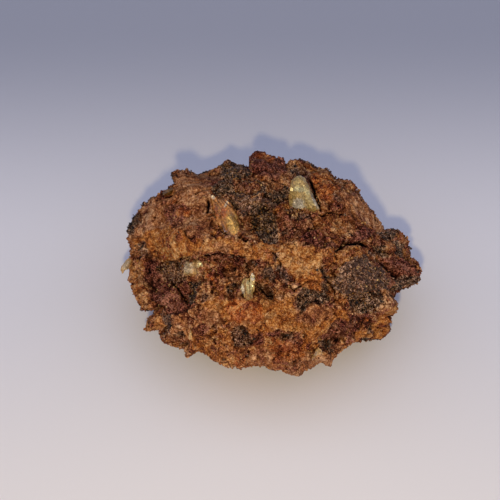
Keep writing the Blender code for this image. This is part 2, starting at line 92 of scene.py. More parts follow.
# Stretches of the broad face: their tone and its strength, how calm their relief is, how far they stand proud
# of the rest, and their corners as (right, up) places. Later ones lie over earlier ones.
Zone = namedtuple("Zone", "tone strength calm level corners")
ZONES = [
    # Upper left slope
    Zone("tan", 0.8, 0.9, 0.0, [
        (-24.7, 5.4), (-23.8, 7.3), (-22.3, 9.7), (-20.6, 11.2), (-18.4, 12.8), (-16.7, 14.3),
        (-16.2, 15.8), (-13.3, 15.8), (-11.2, 15.5), (-9.5, 16.3), (-8.3, 17.0), (-8.7, 14.8),
        (-10.4, 13.4), (-10.7, 11.7), (-11.7, 10.0), (-11.4, 7.7), (-9.7, 4.2), (-12.4, 4.9),
        (-14.5, 6.0), (-17.2, 6.6), (-20.6, 6.0), (-23.0, 4.9),
    ]),
    Zone("maroon", 0.5, 0.8, 0.0, [
        (-13.3, 13.4), (-11.9, 14.8), (-10.0, 15.1), (-9.4, 14.1), (-11.1, 13.1),
    ]),
    # Stain on the slope
    Zone("maroon", 0.8, 0.6, 0.0, [
        (-18.2, 7.3), (-18.4, 9.4), (-17.3, 10.4), (-15.5, 10.5), (-13.9, 10.0), (-14.1, 8.7), (-15.5, 7.5),
        (-16.8, 6.3),
    ]),
    Zone("orange", 0.9, 0.7, 0.1, [
        (-16.8, 8.7), (-16.5, 9.9), (-15.3, 10.0), (-14.1, 9.5), (-14.6, 8.5), (-15.8, 8.0),
    ]),
    Zone("orange", 0.5, 0.6, 0.0, [(-17.7, 10.4), (-17.5, 11.4), (-16.5, 11.7), (-16.3, 10.5)]),
    # Ridge
    Zone("ochre", 1.0, 1.0, 0.1, [
        (-24.5, 4.9), (-22.6, 4.9), (-20.6, 6.0), (-17.2, 6.5), (-14.8, 5.6), (-12.4, 4.6), (-12.6, 2.9),
        (-14.5, 1.5), (-16.5, 0.9), (-18.7, 0.5), (-20.6, 1.5), (-22.1, 3.1), (-24.0, 3.2),
    ]),
    Zone("orange", 0.6, 0.9, 0.1, [(-17.5, 5.4), (-16.5, 6.3), (-15.5, 5.3), (-16.5, 4.4)]),
    # Cleft at the ridge's end
    Zone("black", 0.6, 0.2, -0.5, [
        (-23.1, 3.7), (-21.9, 3.9), (-21.6, 2.2), (-20.7, 0.9), (-22.1, 1.0), (-22.8, 2.4),
    ]),
    # Knob
    Zone("tan", 0.6, 0.7, 0.35, [(-15.1, 6.1), (-14.1, 6.8), (-12.9, 6.0), (-13.3, 4.8), (-14.6, 4.6)]),
    # Middle band
    Zone("ochre", 0.75, 0.85, 0.1, [
        (-12.6, 4.2), (-10.0, 4.6), (-7.0, 4.2), (-3.9, 3.9), (-1.9, 3.7), (0.3, 4.2), (2.9, 3.7),
        (5.3, 3.2), (4.6, 0.5), (2.2, -0.5), (0.5, 0.5), (-1.9, 1.2), (-4.9, 1.2), (-7.3, 1.5),
        (-10.0, 2.2), (-12.1, 1.9),
    ]),
    Zone("tan", 0.6, 0.7, 0.1, [(-10.5, 3.6), (-9.0, 3.9), (-7.1, 3.2), (-8.0, 2.2), (-9.7, 2.6)]),
    # Under the band
    Zone("maroon", 0.7, 0.3, -0.35, [
        (-11.9, 1.9), (-9.7, 2.2), (-5.6, 1.4), (-3.9, 0.9), (-6.3, 0.2), (-10.0, 0.5), (-12.2, 0.5),
    ]),
    Zone("black", 0.6, 0.3, -0.2, [(-0.7, 2.2), (0.4, 2.4), (1.0, 1.2), (0.2, 0.7), (-0.4, 1.2)]),
    Zone("grey", 0.7, 0.3, 0.0, [(0.4, -0.3), (1.6, 0.0), (2.7, -1.6), (2.2, -3.1), (1.0, -2.4)]),
    Zone("black", 0.6, 0.2, -0.4, [(-4.2, 0.7), (-2.9, 1.0), (-2.6, -0.3), (-3.9, -0.9)]),
    # Hollow under the ridge
    Zone("maroon", 1.0, 0.3, -0.9, [
        (-21.6, 1.2), (-19.9, 0.5), (-17.9, 0.3), (-15.8, 1.2), (-13.9, 1.5), (-14.5, 0.2), (-15.1, -1.2),
        (-14.5, -2.6), (-12.8, -2.6), (-12.6, -4.6), (-13.4, -6.5), (-14.5, -8.0), (-16.5, -8.3),
        (-18.7, -8.2), (-20.4, -7.0), (-21.2, -5.3), (-22.3, -4.4), (-21.4, -2.9), (-22.1, -1.2),
    ]),
    Zone("black", 0.7, 0.1, -1.1, [
        (-19.6, 0.5), (-15.5, 1.0), (-13.9, 1.4), (-14.8, -0.5), (-15.1, -2.2), (-17.2, -2.6),
        (-19.2, -1.9), (-20.6, -0.9),
    ]),
    Zone("maroon", 1.0, 0.6, -0.5, [
        (-20.9, -4.1), (-19.2, -3.1), (-17.2, -3.6), (-16.2, -4.9), (-15.5, -6.6), (-17.2, -7.8),
        (-19.6, -7.1), (-20.9, -6.0),
    ]),
    Zone("black", 1.2, 0.0, -1.4, [
        (-15.1, -3.9), (-13.9, -3.6), (-13.3, -4.6), (-13.6, -6.1), (-14.6, -6.6), (-15.3, -5.4),
    ]),
    Zone("black", 1.0, 0.0, -0.9, [
        (-14.5, -2.4), (-13.1, -2.2), (-12.6, -3.2), (-13.6, -3.9), (-14.6, -3.4),
    ]),
    # Left flank
    Zone("ochre", 0.6, 0.5, 0.1, [
        (-24.5, 0.5), (-23.0, 1.2), (-21.8, 0.5), (-21.9, -1.5), (-21.6, -3.2), (-22.3, -4.4),
        (-21.2, -5.4), (-20.7, -6.6), (-21.9, -7.5), (-23.0, -6.5), (-24.0, -4.2), (-24.5, -2.2),
    ]),
    Zone("orange", 0.8, 0.5, 0.1, [(-23.6, -2.7), (-22.4, -2.4), (-22.1, -3.7), (-23.1, -4.4)]),
    # Dip beside the flap
    Zone("grey", 0.8, 0.3, -0.7, [
        (-19.7, -7.5), (-17.5, -8.3), (-17.0, -10.4), (-17.5, -12.2), (-18.9, -12.2), (-19.6, -9.7),
    ]),
    # Flap
    Zone("ochre", 0.6, 0.6, 0.0, [
        (-21.8, -9.5), (-20.7, -7.8), (-19.7, -7.5), (-19.4, -9.0), (-19.6, -11.1), (-21.6, -11.4),
    ]),
    # Lower left block
    Zone("tan", 0.6, 0.6, 0.2, [
        (-17.2, -8.7), (-15.1, -8.0), (-12.8, -8.3), (-11.4, -9.7), (-11.7, -12.1), (-13.1, -13.1),
        (-15.1, -13.4), (-17.2, -13.1), (-17.9, -11.7),
    ]),
    Zone("black", 0.9, 0.0, -0.7, [(-17.2, -11.6), (-15.8, -11.4), (-15.3, -12.4), (-16.5, -12.9)]),
    Zone("maroon", 0.8, 0.2, -0.1, [(-12.6, -10.4), (-10.9, -10.2), (-10.5, -11.7), (-11.9, -12.2)]),
    Zone("black", 0.7, 0.0, -0.5, [(-11.6, -12.2), (-10.4, -11.7), (-9.5, -12.8), (-10.5, -13.4)]),
    Zone("black", 0.7, 0.0, -0.5, [(-9.4, -13.4), (-8.0, -13.3), (-7.8, -14.5), (-9.0, -14.8)]),
    # Foot of the face
    Zone("ochre", 0.6, 0.4, 0.0, [
        (-14.0, -12.0), (-8.0, -10.0), (0.0, -10.5), (8.0, -11.0), (12.0, -12.5), (9.0, -16.0),
        (4.0, -18.6), (-4.0, -17.6), (-10.0, -17.2), (-14.0, -15.0),
    ]),
    # Belly, left half
    Zone("ochre", 0.8, 0.8, 0.2, [
        (-11.7, -6.3), (-8.7, -5.6), (-5.6, -6.0), (-2.6, -5.3), (-0.2, -5.6), (2.0, -6.3), (1.7, -9.4),
        (-0.5, -11.1), (-3.6, -10.4), (-6.3, -9.7), (-9.0, -9.0), (-11.4, -8.3),
    ]),
    # Patches below the belly
    Zone("orange", 0.7, 1.0, 0.2, [
        (-8.0, -6.2), (-5.1, -5.8), (-2.2, -6.5), (-2.0, -9.4), (-4.9, -9.9), (-7.5, -9.2),
    ]),
    Zone("tan", 0.7, 0.8, 0.1, [
        (-13.1, -7.5), (-9.0, -7.8), (-8.8, -10.0), (-10.7, -10.6), (-12.6, -10.2),
    ]),
    Zone("maroon", 0.7, 0.1, -0.2, [
        (-1.2, -11.2), (1.4, -10.7), (4.2, -11.6), (4.8, -13.4), (2.4, -14.6), (-0.2, -13.9),
    ]),
    Zone("maroon", 0.6, 0.2, -0.1, [(-5.4, -11.2), (-1.4, -11.4), (-1.6, -13.3), (-4.6, -13.8)]),
    # Dip near the bottom
    Zone("black", 0.7, 0.1, -0.5, [
        (-7.7, -10.7), (-5.6, -10.2), (-4.2, -11.1), (-3.4, -12.4), (-4.6, -13.8), (-6.3, -13.6),
        (-7.3, -12.4),
    ]),
    Zone("orange", 0.6, 0.4, 0.0, [(-7.0, -15.5), (-4.6, -15.0), (-4.1, -16.7), (-6.3, -17.3)]),
    Zone("tan", 0.6, 0.9, 0.2, [
        (-4.2, -14.5), (-1.9, -14.1), (0.5, -14.8), (-0.2, -16.8), (-2.9, -16.8), (-4.1, -16.2),
    ]),
    # Belly, right half
    Zone("ochre", 0.9, 0.8, 0.2, [
        (-0.5, -7.0), (2.2, -5.6), (3.9, -7.0), (6.3, -6.3), (9.0, -7.0), (12.1, -7.3), (12.4, -9.7),
        (11.1, -11.4), (7.7, -11.7), (4.6, -11.4), (1.9, -11.1), (-0.2, -9.7),
    ]),
    Zone("tan", 0.7, 0.95, 0.2, [
        (3.4, -6.8), (6.8, -6.5), (9.9, -7.3), (9.5, -9.2), (6.1, -9.9), (3.7, -9.4),
    ]),
    Zone("maroon", 0.7, 0.2, -0.1, [(9.9, -9.2), (13.3, -9.4), (13.1, -12.1), (10.9, -12.4), (9.5, -11.1)]),
    # Druse under the plate
    Zone("black", 0.85, 0.1, -0.7, [
        (3.6, -4.8), (4.6, -3.9), (6.3, -3.6), (8.0, -4.6), (10.0, -5.4), (9.0, -6.6), (6.6, -6.1),
        (5.6, -7.0), (4.6, -8.2), (3.9, -6.6),
    ]),
    # Plate
    Zone("ochre", 1.0, 0.9, -0.1, [
        (1.5, 1.5), (4.6, 3.2), (7.0, 3.6), (8.3, 2.2), (8.0, -0.2), (8.2, -4.6), (6.6, -3.9), (4.6, -3.6),
        (3.1, -2.4),
    ]),
    Zone("ochre", 0.6, 0.6, 0.2, [
        (8.3, 2.2), (10.0, 2.9), (12.1, 3.2), (14.1, 3.4), (15.8, 2.6), (16.3, 1.5), (14.1, 1.4),
        (12.1, 0.5), (10.7, 0.5), (9.0, 0.5),
    ]),
    # Druse block
    Zone("grey", 0.85, 0.4, 0.2, [
        (11.2, -0.2), (13.1, 1.2), (15.1, 1.5), (16.5, 0.9), (17.5, -0.5), (18.9, -2.6), (19.9, -4.6),
        (18.2, -4.6), (15.8, -4.2), (13.1, -4.9), (11.1, -4.6), (9.9, -2.9),
    ]),
    # Strip beside the block
    Zone("maroon", 0.8, 0.6, 0.1, [
        (16.8, 0.5), (18.9, 0.5), (20.9, -1.9), (20.7, -4.8), (19.7, -4.2), (18.2, -1.5),
    ]),
    # Foot of the block
    Zone("black", 0.9, 0.0, -0.3, [
        (12.1, -5.3), (15.1, -4.2), (17.9, -4.6), (18.7, -6.0), (17.5, -8.0), (15.5, -8.5), (13.1, -7.1),
    ]),
    Zone("maroon", 0.8, 0.3, -0.4, [
        (12.1, -8.0), (14.1, -8.5), (15.8, -8.3), (17.2, -9.0), (16.2, -10.4), (14.1, -9.9), (12.4, -9.4),
    ]),
    # Cleft left of the block
    Zone("black", 0.8, 0.0, -0.5, [
        (8.0, 0.2), (8.8, -0.2), (9.5, -1.9), (9.3, -3.6), (9.0, -5.4), (8.2, -4.8), (8.3, -2.2),
    ]),
    # Right ledge
    Zone("ochre", 1.2, 0.9, 0.0, [
        (21.2, -6.5), (21.4, -8.0), (20.1, -9.4), (20.1, -11.4), (19.0, -12.8), (15.8, -13.1),
        (13.4, -13.4), (14.1, -11.7), (15.8, -11.1), (17.2, -9.7), (18.5, -8.3), (20.2, -7.0),
    ]),
    Zone("black", 0.7, 0.2, -0.4, [(16.2, -10.4), (17.2, -10.2), (17.5, -11.6), (16.3, -11.7)]),
    # Dark hole at the lower right
    Zone("maroon", 0.9, 0.2, -0.9, [
        (7.5, -11.7), (9.0, -11.1), (10.9, -12.1), (11.6, -13.8), (10.0, -14.8), (8.3, -14.5), (7.3, -13.1),
    ]),
    Zone("black", 0.8, 0.0, -1.0, [(8.3, -12.8), (10.0, -12.9), (10.7, -14.1), (9.0, -14.5)]),
    # Lower edge
    Zone("orange", 0.5, 0.7, 0.15, [
        (-0.5, -12.1), (1.9, -12.8), (4.6, -13.4), (5.6, -15.5), (5.3, -18.2), (3.6, -18.9), (1.9, -18.2),
        (-0.2, -17.5), (-0.9, -14.8),
    ]),
    Zone("maroon", 0.35, 0.4, 0.0, [(1.7, -15.8), (5.1, -16.1), (5.3, -18.5), (2.5, -18.7), (1.5, -16.8)]),
    Zone("tan", 0.6, 0.9, 0.2, [
        (4.9, -14.8), (7.3, -15.1), (9.7, -15.5), (10.5, -16.2), (9.4, -17.3), (7.7, -16.7), (5.6, -17.7),
    ]),
    Zone("black", 0.7, 0.0, -0.5, [(0.9, -11.7), (2.9, -11.6), (3.2, -12.6), (1.5, -12.9)]),
    # Band under the cap
    Zone("black", 1.05, 0.1, -0.3, [
        (-8.7, 14.5), (-6.3, 13.9), (-3.9, 15.0), (-1.9, 14.3), (0.2, 13.8), (1.9, 14.1), (2.9, 12.8),
        (2.2, 11.4), (-0.2, 11.1), (-1.9, 11.9), (-4.2, 12.2), (-6.3, 11.9), (-8.7, 11.9), (-10.5, 12.6),
        (-10.2, 13.8),
    ]),
    Zone("maroon", 0.6, 0.2, 0.0, [(-7.0, 13.9), (-3.9, 14.6), (-1.9, 13.9), (-2.6, 12.4), (-5.6, 12.6)]),
    Zone("tan", 0.5, 0.4, 0.2, [(-1.9, 14.1), (-0.2, 14.3), (1.9, 13.8), (1.5, 12.8), (-0.9, 12.6)]),
    # Top edge
    Zone("black", 0.9, 0.0, 0.0, [
        (-8.8, 16.8), (-7.5, 17.7), (-5.6, 17.3), (-3.9, 17.0), (-3.9, 15.6), (-5.6, 15.1), (-7.0, 13.9),
        (-8.5, 14.5), (-9.5, 15.8),
    ]),
    Zone("grey", 0.9, 0.1, 0.1, [(-7.7, 17.9), (-3.9, 17.2), (-3.9, 16.2), (-6.0, 16.2), (-7.5, 16.8)]),
    # Cap
    Zone("maroon", 1.2, 0.3, 0.9, [
        (-4.1, 17.9), (-3.4, 19.2), (-1.9, 19.6), (-0.2, 18.9), (1.7, 18.5), (2.4, 17.2), (2.0, 15.5),
        (0.5, 14.5), (-1.9, 14.8), (-3.6, 15.3), (-4.2, 16.8),
    ]),
    # Orange on the cap's top: partly its own tone, partly a painted highlight.
    Zone("orange", 1.1, 0.6, 1.0, [
        (-2.7, 18.9), (-1.2, 19.0), (0.3, 18.2), (0.7, 17.2), (-0.9, 16.8), (-2.2, 17.7),
    ]),
    # Above the black druse
    Zone("grey", 0.7, 0.3, -0.1, [
        (-8.0, 11.6), (-5.6, 12.2), (-3.2, 11.7), (-0.9, 11.4), (1.5, 10.2), (-1.5, 10.0), (-3.6, 9.9),
        (-4.4, 8.7), (-5.3, 7.5), (-6.3, 9.0), (-7.0, 10.4),
    ]),
    # Black druse
    Zone("black", 1.0, 0.0, -0.5, [
        (-4.2, 10.5), (-2.5, 10.7), (-0.9, 9.9), (0.3, 8.5), (0.5, 5.6), (0.0, 4.1), (-1.9, 3.7),
        (-2.7, 5.1), (-3.1, 7.3), (-3.9, 9.0),
    ]),
    Zone("tan", 0.4, 0.5, 0.2, [
        (-6.0, 8.8), (-4.6, 7.7), (-3.1, 5.4), (-2.7, 4.2), (-4.6, 4.1), (-6.0, 5.1), (-5.4, 7.0),
    ]),
    Zone("maroon", 0.5, 0.3, 0.0, [
        (1.0, 10.0), (4.2, 9.4), (5.6, 7.3), (4.6, 4.2), (1.5, 4.1), (0.9, 6.3),
    ]),
    # Edge behind the wedge
    Zone("ochre", 0.6, 0.5, 0.1, [
        (3.2, 17.7), (6.6, 17.2), (9.7, 16.2), (11.1, 14.6), (13.6, 13.9), (14.3, 12.8), (11.4, 13.1),
        (9.4, 15.1), (6.6, 15.8), (4.6, 16.2),
    ]),
    # Right of the wedge
    Zone("orange", 0.8, 0.5, 0.1, [
        (6.1, 15.1), (7.3, 15.8), (9.2, 15.1), (10.7, 13.9), (10.2, 11.7), (9.2, 10.5), (7.8, 10.9),
        (7.0, 12.8),
    ]),
    Zone("black", 0.9, 0.0, -0.7, [(2.7, 17.3), (4.2, 17.0), (6.0, 15.6), (4.8, 15.0), (3.2, 15.8)]),
    Zone("black", 0.55, 0.4, 0.1, [(10.5, 12.8), (11.7, 13.1), (12.1, 11.4), (11.2, 10.4), (10.2, 11.2)]),
    # Right shoulder
    Zone("tan", 0.9, 0.8, 0.2, [
        (10.9, 12.8), (14.1, 12.8), (16.2, 10.4), (18.2, 7.7), (20.2, 6.0), (19.2, 4.9), (16.8, 6.6),
        (14.1, 7.7), (12.1, 8.7), (11.7, 10.4),
    ]),
    Zone("ochre", 0.4, 0.5, 0.0, [
        (7.7, 10.4), (10.0, 9.4), (12.4, 8.3), (14.1, 7.3), (13.1, 5.6), (10.4, 4.6), (7.7, 5.3),
        (6.3, 7.3),
    ]),
    Zone("maroon", 1.1, 0.4, 0.1, [
        (12.4, 4.4), (13.8, 5.8), (15.8, 6.6), (17.5, 6.0), (16.2, 4.9), (14.5, 4.1),
    ]),
    Zone("maroon", 0.9, 0.2, -0.3, [
        (3.9, 4.8), (5.1, 6.0), (7.0, 6.5), (8.0, 4.6), (10.0, 4.2), (11.9, 3.7), (9.7, 2.7), (7.7, 3.2),
        (5.6, 4.1),
    ]),
    # Right lobe
    Zone("black", 0.9, 0.1, -0.2, [(18.0, 5.9), (21.2, 5.9), (21.4, 4.7), (19.6, 4.2), (17.9, 4.6)]),
    Zone("black", 0.9, 0.1, -0.2, [(17.0, 3.2), (18.7, 3.6), (19.6, 2.2), (19.2, 1.3), (17.3, 1.7)]),
    Zone("black", 0.9, 0.1, -0.2, [(20.9, 4.2), (22.4, 4.2), (22.8, 2.9), (22.2, 1.4), (20.7, 2.0)]),
    Zone("tan", 0.8, 0.6, 0.4, [(19.0, 3.9), (20.1, 4.4), (20.9, 3.6), (20.4, 2.6), (19.2, 2.7)]),
    Zone("maroon", 1.1, 0.2, 0.0, [
        (17.9, 1.5), (20.2, 1.4), (22.3, 1.4), (24.0, 0.7), (25.2, -0.9), (24.7, -2.7), (22.3, -3.6),
        (20.6, -2.2), (18.9, -0.2),
    ]),
    Zone("black", 0.9, 0.0, -0.1, [
        (20.4, -1.9), (22.3, -1.2), (24.1, -1.9), (24.7, -3.1), (22.3, -4.4), (20.9, -4.8),
    ]),
    # Under the wedge
    Zone("black", 0.6, 0.0, -0.4, [
        (1.9, 9.7), (3.9, 10.0), (5.3, 9.2), (6.8, 8.0), (4.6, 7.7), (2.6, 8.3),
    ]),
    # Nubs on the left rim, and the rim's dark edge
    Zone("black", 1.5, 0.0, 0.4, [
        (-24.9, 8.6), (-23.7, 9.2), (-22.9, 8.2), (-23.1, 7.0), (-24.2, 5.6), (-25.2, 6.4),
    ]),
    Zone("black", 1.5, 0.0, 0.4, [(-23.4, 10.6), (-22.4, 11.3), (-21.8, 10.2), (-22.5, 9.3), (-23.3, 9.6)]),
    # Flake by the left crystal
    Zone("orange", 1.1, 0.6, 0.3, [
        (-11.7, -0.6), (-10.9, -0.4), (-10.3, -1.2), (-10.5, -2.3), (-11.4, -2.5), (-11.9, -1.6),
    ]),
    Zone("orange", 0.5, 0.5, 0.2, [(-15.3, -2.0), (-13.3, -1.7), (-12.9, -2.4), (-14.5, -2.7)]),
    Zone("black", 0.65, 0.1, -0.6, [(-8.0, -3.4), (-6.6, -3.1), (-6.0, -3.9), (-7.0, -4.8), (-8.0, -4.4)]),
    # Right of the centre crystal
    Zone("black", 0.6, 0.2, -0.2, [
        (-2.7, -2.6), (-1.5, -3.4), (0.0, -4.2), (-0.2, -5.4), (-1.5, -5.3), (-2.6, -4.2),
    ]),
    Zone("grey", 0.8, 0.0, -0.4, [(-2.0, -0.3), (-0.5, -0.2), (0.3, -1.9), (-0.9, -3.2), (-2.0, -2.4)]),
    Zone("ochre", 0.4, 0.2, 0.1, [(-11.7, -3.2), (-9.0, -2.6), (-8.0, -4.2), (-8.7, -6.0), (-11.1, -6.0)]),
]

# Half the width of a stretch's edge, how far and in what waves the edge wanders, and how much of the tones
# under it a stretch covers.
ZONE_EDGE = 0.28
ZONE_WANDER = 0.55
ZONE_WAVE = 2.3
ZONE_COVER = 0.8

# Patterns that come and go over the skin: wavelength, start and layers of their noise, and the levels between
# which they set in.
Pattern = namedtuple("Pattern", "wavelength start layers low high")

# The tones, and how they are scattered over the sides that the photo doesn't show.
TONES = {
    "black": Pattern(8.0, 1.3, 4, 0.24, 0.44),
    "maroon": Pattern(9.0, 5.9, 4, 0.28, 0.48),
    "ochre": Pattern(9.0, 11.1, 4, 0.16, 0.36),
    "grey": Pattern(8.0, 17.3, 4, 0.36, 0.56),
    "tan": Pattern(8.0, 23.9, 4, 0.26, 0.46),
    "orange": Pattern(6.0, 29.3, 4, 0.50, 0.70),
}
FIRST_TONES = ("black", "maroon", "ochre")
MORE_TONES = ("grey", "tan", "orange")

# The lump's outline as the eye sees it.
RIM = [
    (-24.5, 0.5), (-24.5, -1.7), (-24.7, -2.6), (-24.1, -4.1), (-23.3, -6.0), (-22.6, -7.3),
    (-22.3, -7.8), (-21.4, -7.7), (-20.6, -7.7), (-21.2, -8.7), (-21.6, -9.7), (-21.8, -11.1),
    (-21.1, -11.2), (-20.4, -11.1), (-19.7, -11.4), (-19.2, -12.6), (-18.5, -13.3), (-17.5, -13.8),
    (-16.3, -14.1), (-15.3, -14.5), (-15.0, -15.5), (-14.5, -15.8), (-13.8, -15.3), (-12.9, -15.0),
    (-12.1, -15.0), (-11.2, -15.5), (-10.4, -16.2), (-9.4, -16.7), (-8.5, -17.2), (-7.5, -17.5),
    (-6.1, -17.7), (-4.8, -17.5), (-3.6, -17.2), (-2.4, -17.2), (-1.5, -17.2), (-0.9, -17.7),
    (0.2, -18.0), (1.2, -17.9), (2.0, -18.4), (2.9, -18.7), (4.2, -18.9), (4.9, -18.5), (5.3, -17.9),
    (6.1, -17.9), (7.1, -17.2), (7.8, -16.7), (8.5, -16.8), (9.4, -17.2), (10.0, -16.7), (10.4, -15.8),
    (11.4, -14.8), (12.6, -13.8), (13.6, -13.3), (14.8, -13.1), (16.2, -12.9), (17.5, -12.8),
    (18.7, -12.6), (19.4, -11.9), (20.1, -11.1), (20.1, -9.2), (20.7, -8.3), (21.2, -7.7), (21.2, -6.6),
    (20.9, -6.0), (20.7, -5.4), (21.4, -4.6), (22.3, -4.1), (23.5, -3.6), (24.5, -3.1), (25.0, -2.4),
    (25.2, -1.4), (25.0, -0.2), (24.5, 0.7), (23.8, 1.4), (23.5, 2.2), (23.3, 3.2), (23.0, 4.2),
    (22.4, 5.1), (21.9, 5.8), (21.2, 6.1), (20.6, 6.1), (19.9, 5.8), (19.2, 6.3), (18.5, 7.1),
    (17.9, 8.0), (16.8, 9.4), (15.8, 10.7), (15.0, 11.9), (14.5, 12.9), (13.8, 13.9), (13.1, 14.5),
    (12.1, 14.6), (10.7, 14.8), (10.0, 15.6), (9.4, 16.3), (8.2, 16.5), (7.3, 16.8), (6.3, 17.3),
    (5.1, 17.7), (3.9, 18.0), (3.1, 17.9), (2.4, 17.3), (1.9, 18.2), (0.7, 18.5), (-0.5, 18.7),
    (-1.4, 19.2), (-2.4, 19.4), (-3.2, 19.2), (-3.7, 18.7), (-4.1, 17.9), (-4.1, 17.0), (-5.1, 17.0),
    (-6.3, 17.3), (-7.7, 17.9), (-8.5, 17.2), (-9.7, 16.5), (-10.9, 16.0), (-12.1, 15.6), (-13.1, 15.6),
    (-14.1, 16.2), (-15.3, 16.2), (-16.5, 16.2), (-17.3, 15.6), (-17.3, 15.0), (-16.8, 14.6),
    (-17.3, 13.8), (-18.2, 13.1), (-19.4, 12.2), (-20.6, 11.6), (-21.6, 10.7), (-22.3, 10.5),
    (-22.4, 9.9), (-23.1, 9.2), (-23.6, 8.5), (-24.0, 7.5), (-24.7, 6.5), (-24.8, 5.6), (-24.7, 4.2),
    (-24.3, 2.6),
]
RIM_ANGLES = 360

# Fitting to an outline: the least and the most that a point's reach is multiplied by, how far it may pass the
# outline, and the share of the reach from which on it moves in full.
Fit = namedtuple("Fit", "least most spill rim")
RIM_FIT = Fit(0.85, 1.15, 1.05, 0.97)

# Cracks across the face: their corners, half width and depth. They are cut into the relief and also painted
# near black as shade in them, the deeper the darker.
Crack = namedtuple("Crack", "corners half_width depth")
CRACKS = [
    Crack([(-13.4, 12.4), (-11.9, 12.9), (-10.2, 13.1), (-8.8, 13.8)], 0.13, 0.5),
    Crack([(-10.4, 12.0), (-9.4, 11.9), (-8.2, 11.8), (-7.5, 11.5), (-7.0, 10.5), (-6.4, 9.7)], 0.15, 1.0),
    Crack([(-6.8, 12.8), (-5.4, 12.5), (-4.4, 12.2), (-3.6, 12.5), (-2.6, 12.8)], 0.20, 1.1),
    Crack([(-1.4, 11.9), (-0.3, 11.3), (0.5, 10.9), (1.5, 11.2), (2.6, 11.7)], 0.28, 1.3),
    Crack([
        (10.5, 2.7), (11.4, 3.2), (12.2, 3.8), (13.3, 4.0), (14.5, 3.9), (15.5, 3.4), (16.0, 2.7),
        (16.3, 1.9), (17.3, 1.0), (18.2, 0.2), (19.2, -0.3), (20.2, -0.9), (21.3, -1.7),
    ], 0.27, 1.3),
    Crack([(16.7, -1.4), (17.7, -2.2), (18.7, -3.4), (19.7, -4.1), (20.6, -4.8)], 0.13, 0.8),
    Crack([(8.0, -0.3), (8.7, -1.4), (8.8, -2.4), (8.3, -3.6), (8.2, -5.0)], 0.22, 1.1),
    Crack([(8.9, -2.4), (9.7, -3.4), (10.2, -4.6)], 0.14, 0.8),
    Crack([(9.4, 3.4), (9.9, 2.2), (10.5, 1.2)], 0.11, 0.6),
    # The next two cracks stand for the wedge crystal's painted shadow, along its right edge and above its
    # top.
    Crack([(5.8, 16.0), (6.5, 13.8), (7.1, 11.6), (7.9, 9.6)], 0.22, 1.2),
    Crack([(2.6, 16.0), (3.7, 16.1), (5.0, 16.0), (5.8, 15.3)], 0.20, 0.9),
    Crack([(7.3, 8.9), (8.2, 8.5), (9.0, 8.9), (10.9, 8.9)], 0.14, 0.9),
    Crack([(-17.9, -2.4), (-16.8, -3.2), (-16.2, -4.4), (-15.5, -5.8), (-14.8, -6.6)], 0.17, 1.0),
    Crack([(-12.2, 1.5), (-9.9, 2.0), (-7.7, 1.7), (-4.9, 1.2)], 0.14, 0.5),
    Crack([(-0.3, 2.2), (0.5, 1.4), (0.9, 0.5), (0.7, -0.9), (1.7, -2.0), (2.9, -2.6)], 0.11, 0.6),
    Crack([(-3.1, -3.0), (-2.0, -3.9), (-1.0, -4.6)], 0.15, 0.9),
    Crack([(11.1, 8.7), (12.2, 10.0)], 0.12, 0.4),
    Crack([(13.1, 10.2), (13.6, 7.8)], 0.12, 0.4),
    Crack([(6.3, 7.3), (6.8, 6.1), (7.5, 5.4)], 0.12, 0.7),
    Crack([(4.6, 5.1), (5.6, 5.9), (6.6, 6.5)], 0.12, 0.7),
    Crack([(-11.1, 11.1), (-11.2, 9.0)], 0.22, 0.8),
    Crack([(-6.0, 4.6), (-4.8, 4.1), (-3.1, 4.6)], 0.15, 0.9),
    Crack([(-5.1, 9.4), (-4.1, 8.7), (-3.4, 7.7), (-2.6, 6.5)], 0.13, 0.8),
    # This crack stands for the painted shadow line under the ridge's overhang.
    Crack([(-20.6, 1.5), (-18.7, 0.3), (-16.3, 0.7), (-14.1, 1.5)], 0.17, 0.5),
    Crack([(1.7, -3.2), (3.2, -4.1), (4.6, -3.6)], 0.13, 0.6),
    Crack([(17.5, -7.5), (15.8, -9.7), (14.8, -11.1)], 0.15, 0.5),
    Crack([(9.7, -7.0), (10.9, -9.0), (13.4, -11.1)], 0.13, 0.3),
    Crack([(-22.1, 10.6), (-20.4, 12.2), (-18.4, 13.5)], 0.16, 0.5),
    Crack([(-15.3, 6.1), (-15.0, 5.1), (-14.1, 4.5), (-13.1, 4.8)], 0.10, 0.5),
    Crack([(3.1, -4.3), (5.1, -2.9), (6.6, -2.6)], 0.10, 0.4),
]

# Round stretches, for what has no sharp edge: place, reach along and across, slope and strength.
Patch = namedtuple("Patch", "right up along across slope strength")

# Fans of fibres: where they spread from, how many waves to the radian, their rise and what they cover.
Fan = namedtuple("Fan", "right up waves rise cover")
FIBRE_FANS = [
    Fan(9.0, 13.2, 9.0, 0.26, Patch(13.2, 9.2, 4.0, 4.6, 0.0, 1.0)),
    Fan(-12.0, 15.0, 13.0, 0.16, Patch(-15.5, 9.5, 4.5, 3.6, 0.0, 1.0)),
]

# Bits that a surface breaks up into: the size of their cells, the start of their pattern, how far out and how
# much they dome, the steps between them and the tilt of their tops.
Bits = namedtuple("Bits", "size start edge dome step tilt")
CHIPS = Bits(2.7, 2.5, 0.5, 0.0, 0.60, 0.34)
CRUMBS = Bits(1.05, 8.5, 0.55, 0.08, 0.20, 0.22)
GRAINS = Bits(0.50, 13.5, 0.5, 0.05, 0.16, 0.12)
FLAKES = Bits(0.75, 4.4, 0.5, 0.0, 0.6, 1.0)

# Joints between chips and between crumbs: depth and width, as a share of the cells, and where they open.
Joint = namedtuple("Joint", "depth width where")
CHIP_JOINT = Joint(0.55, 0.085, Pattern(3.1, 71.0, 1, -0.15, 0.35))
CRUMB_JOINT = Joint(0.16, 0.13, Pattern(1.9, 77.0, 1, -0.3, 0.4))

# How the bits' edges wander: wavelength, start, step between directions and layers, and how far the chips'
# and crumbs' go, and the grains'.
BIT_WANDER = (1.6, 31.0, 9.0, 2)
CHIP_WANDER = 0.34
GRAIN_WANDER = 0.12

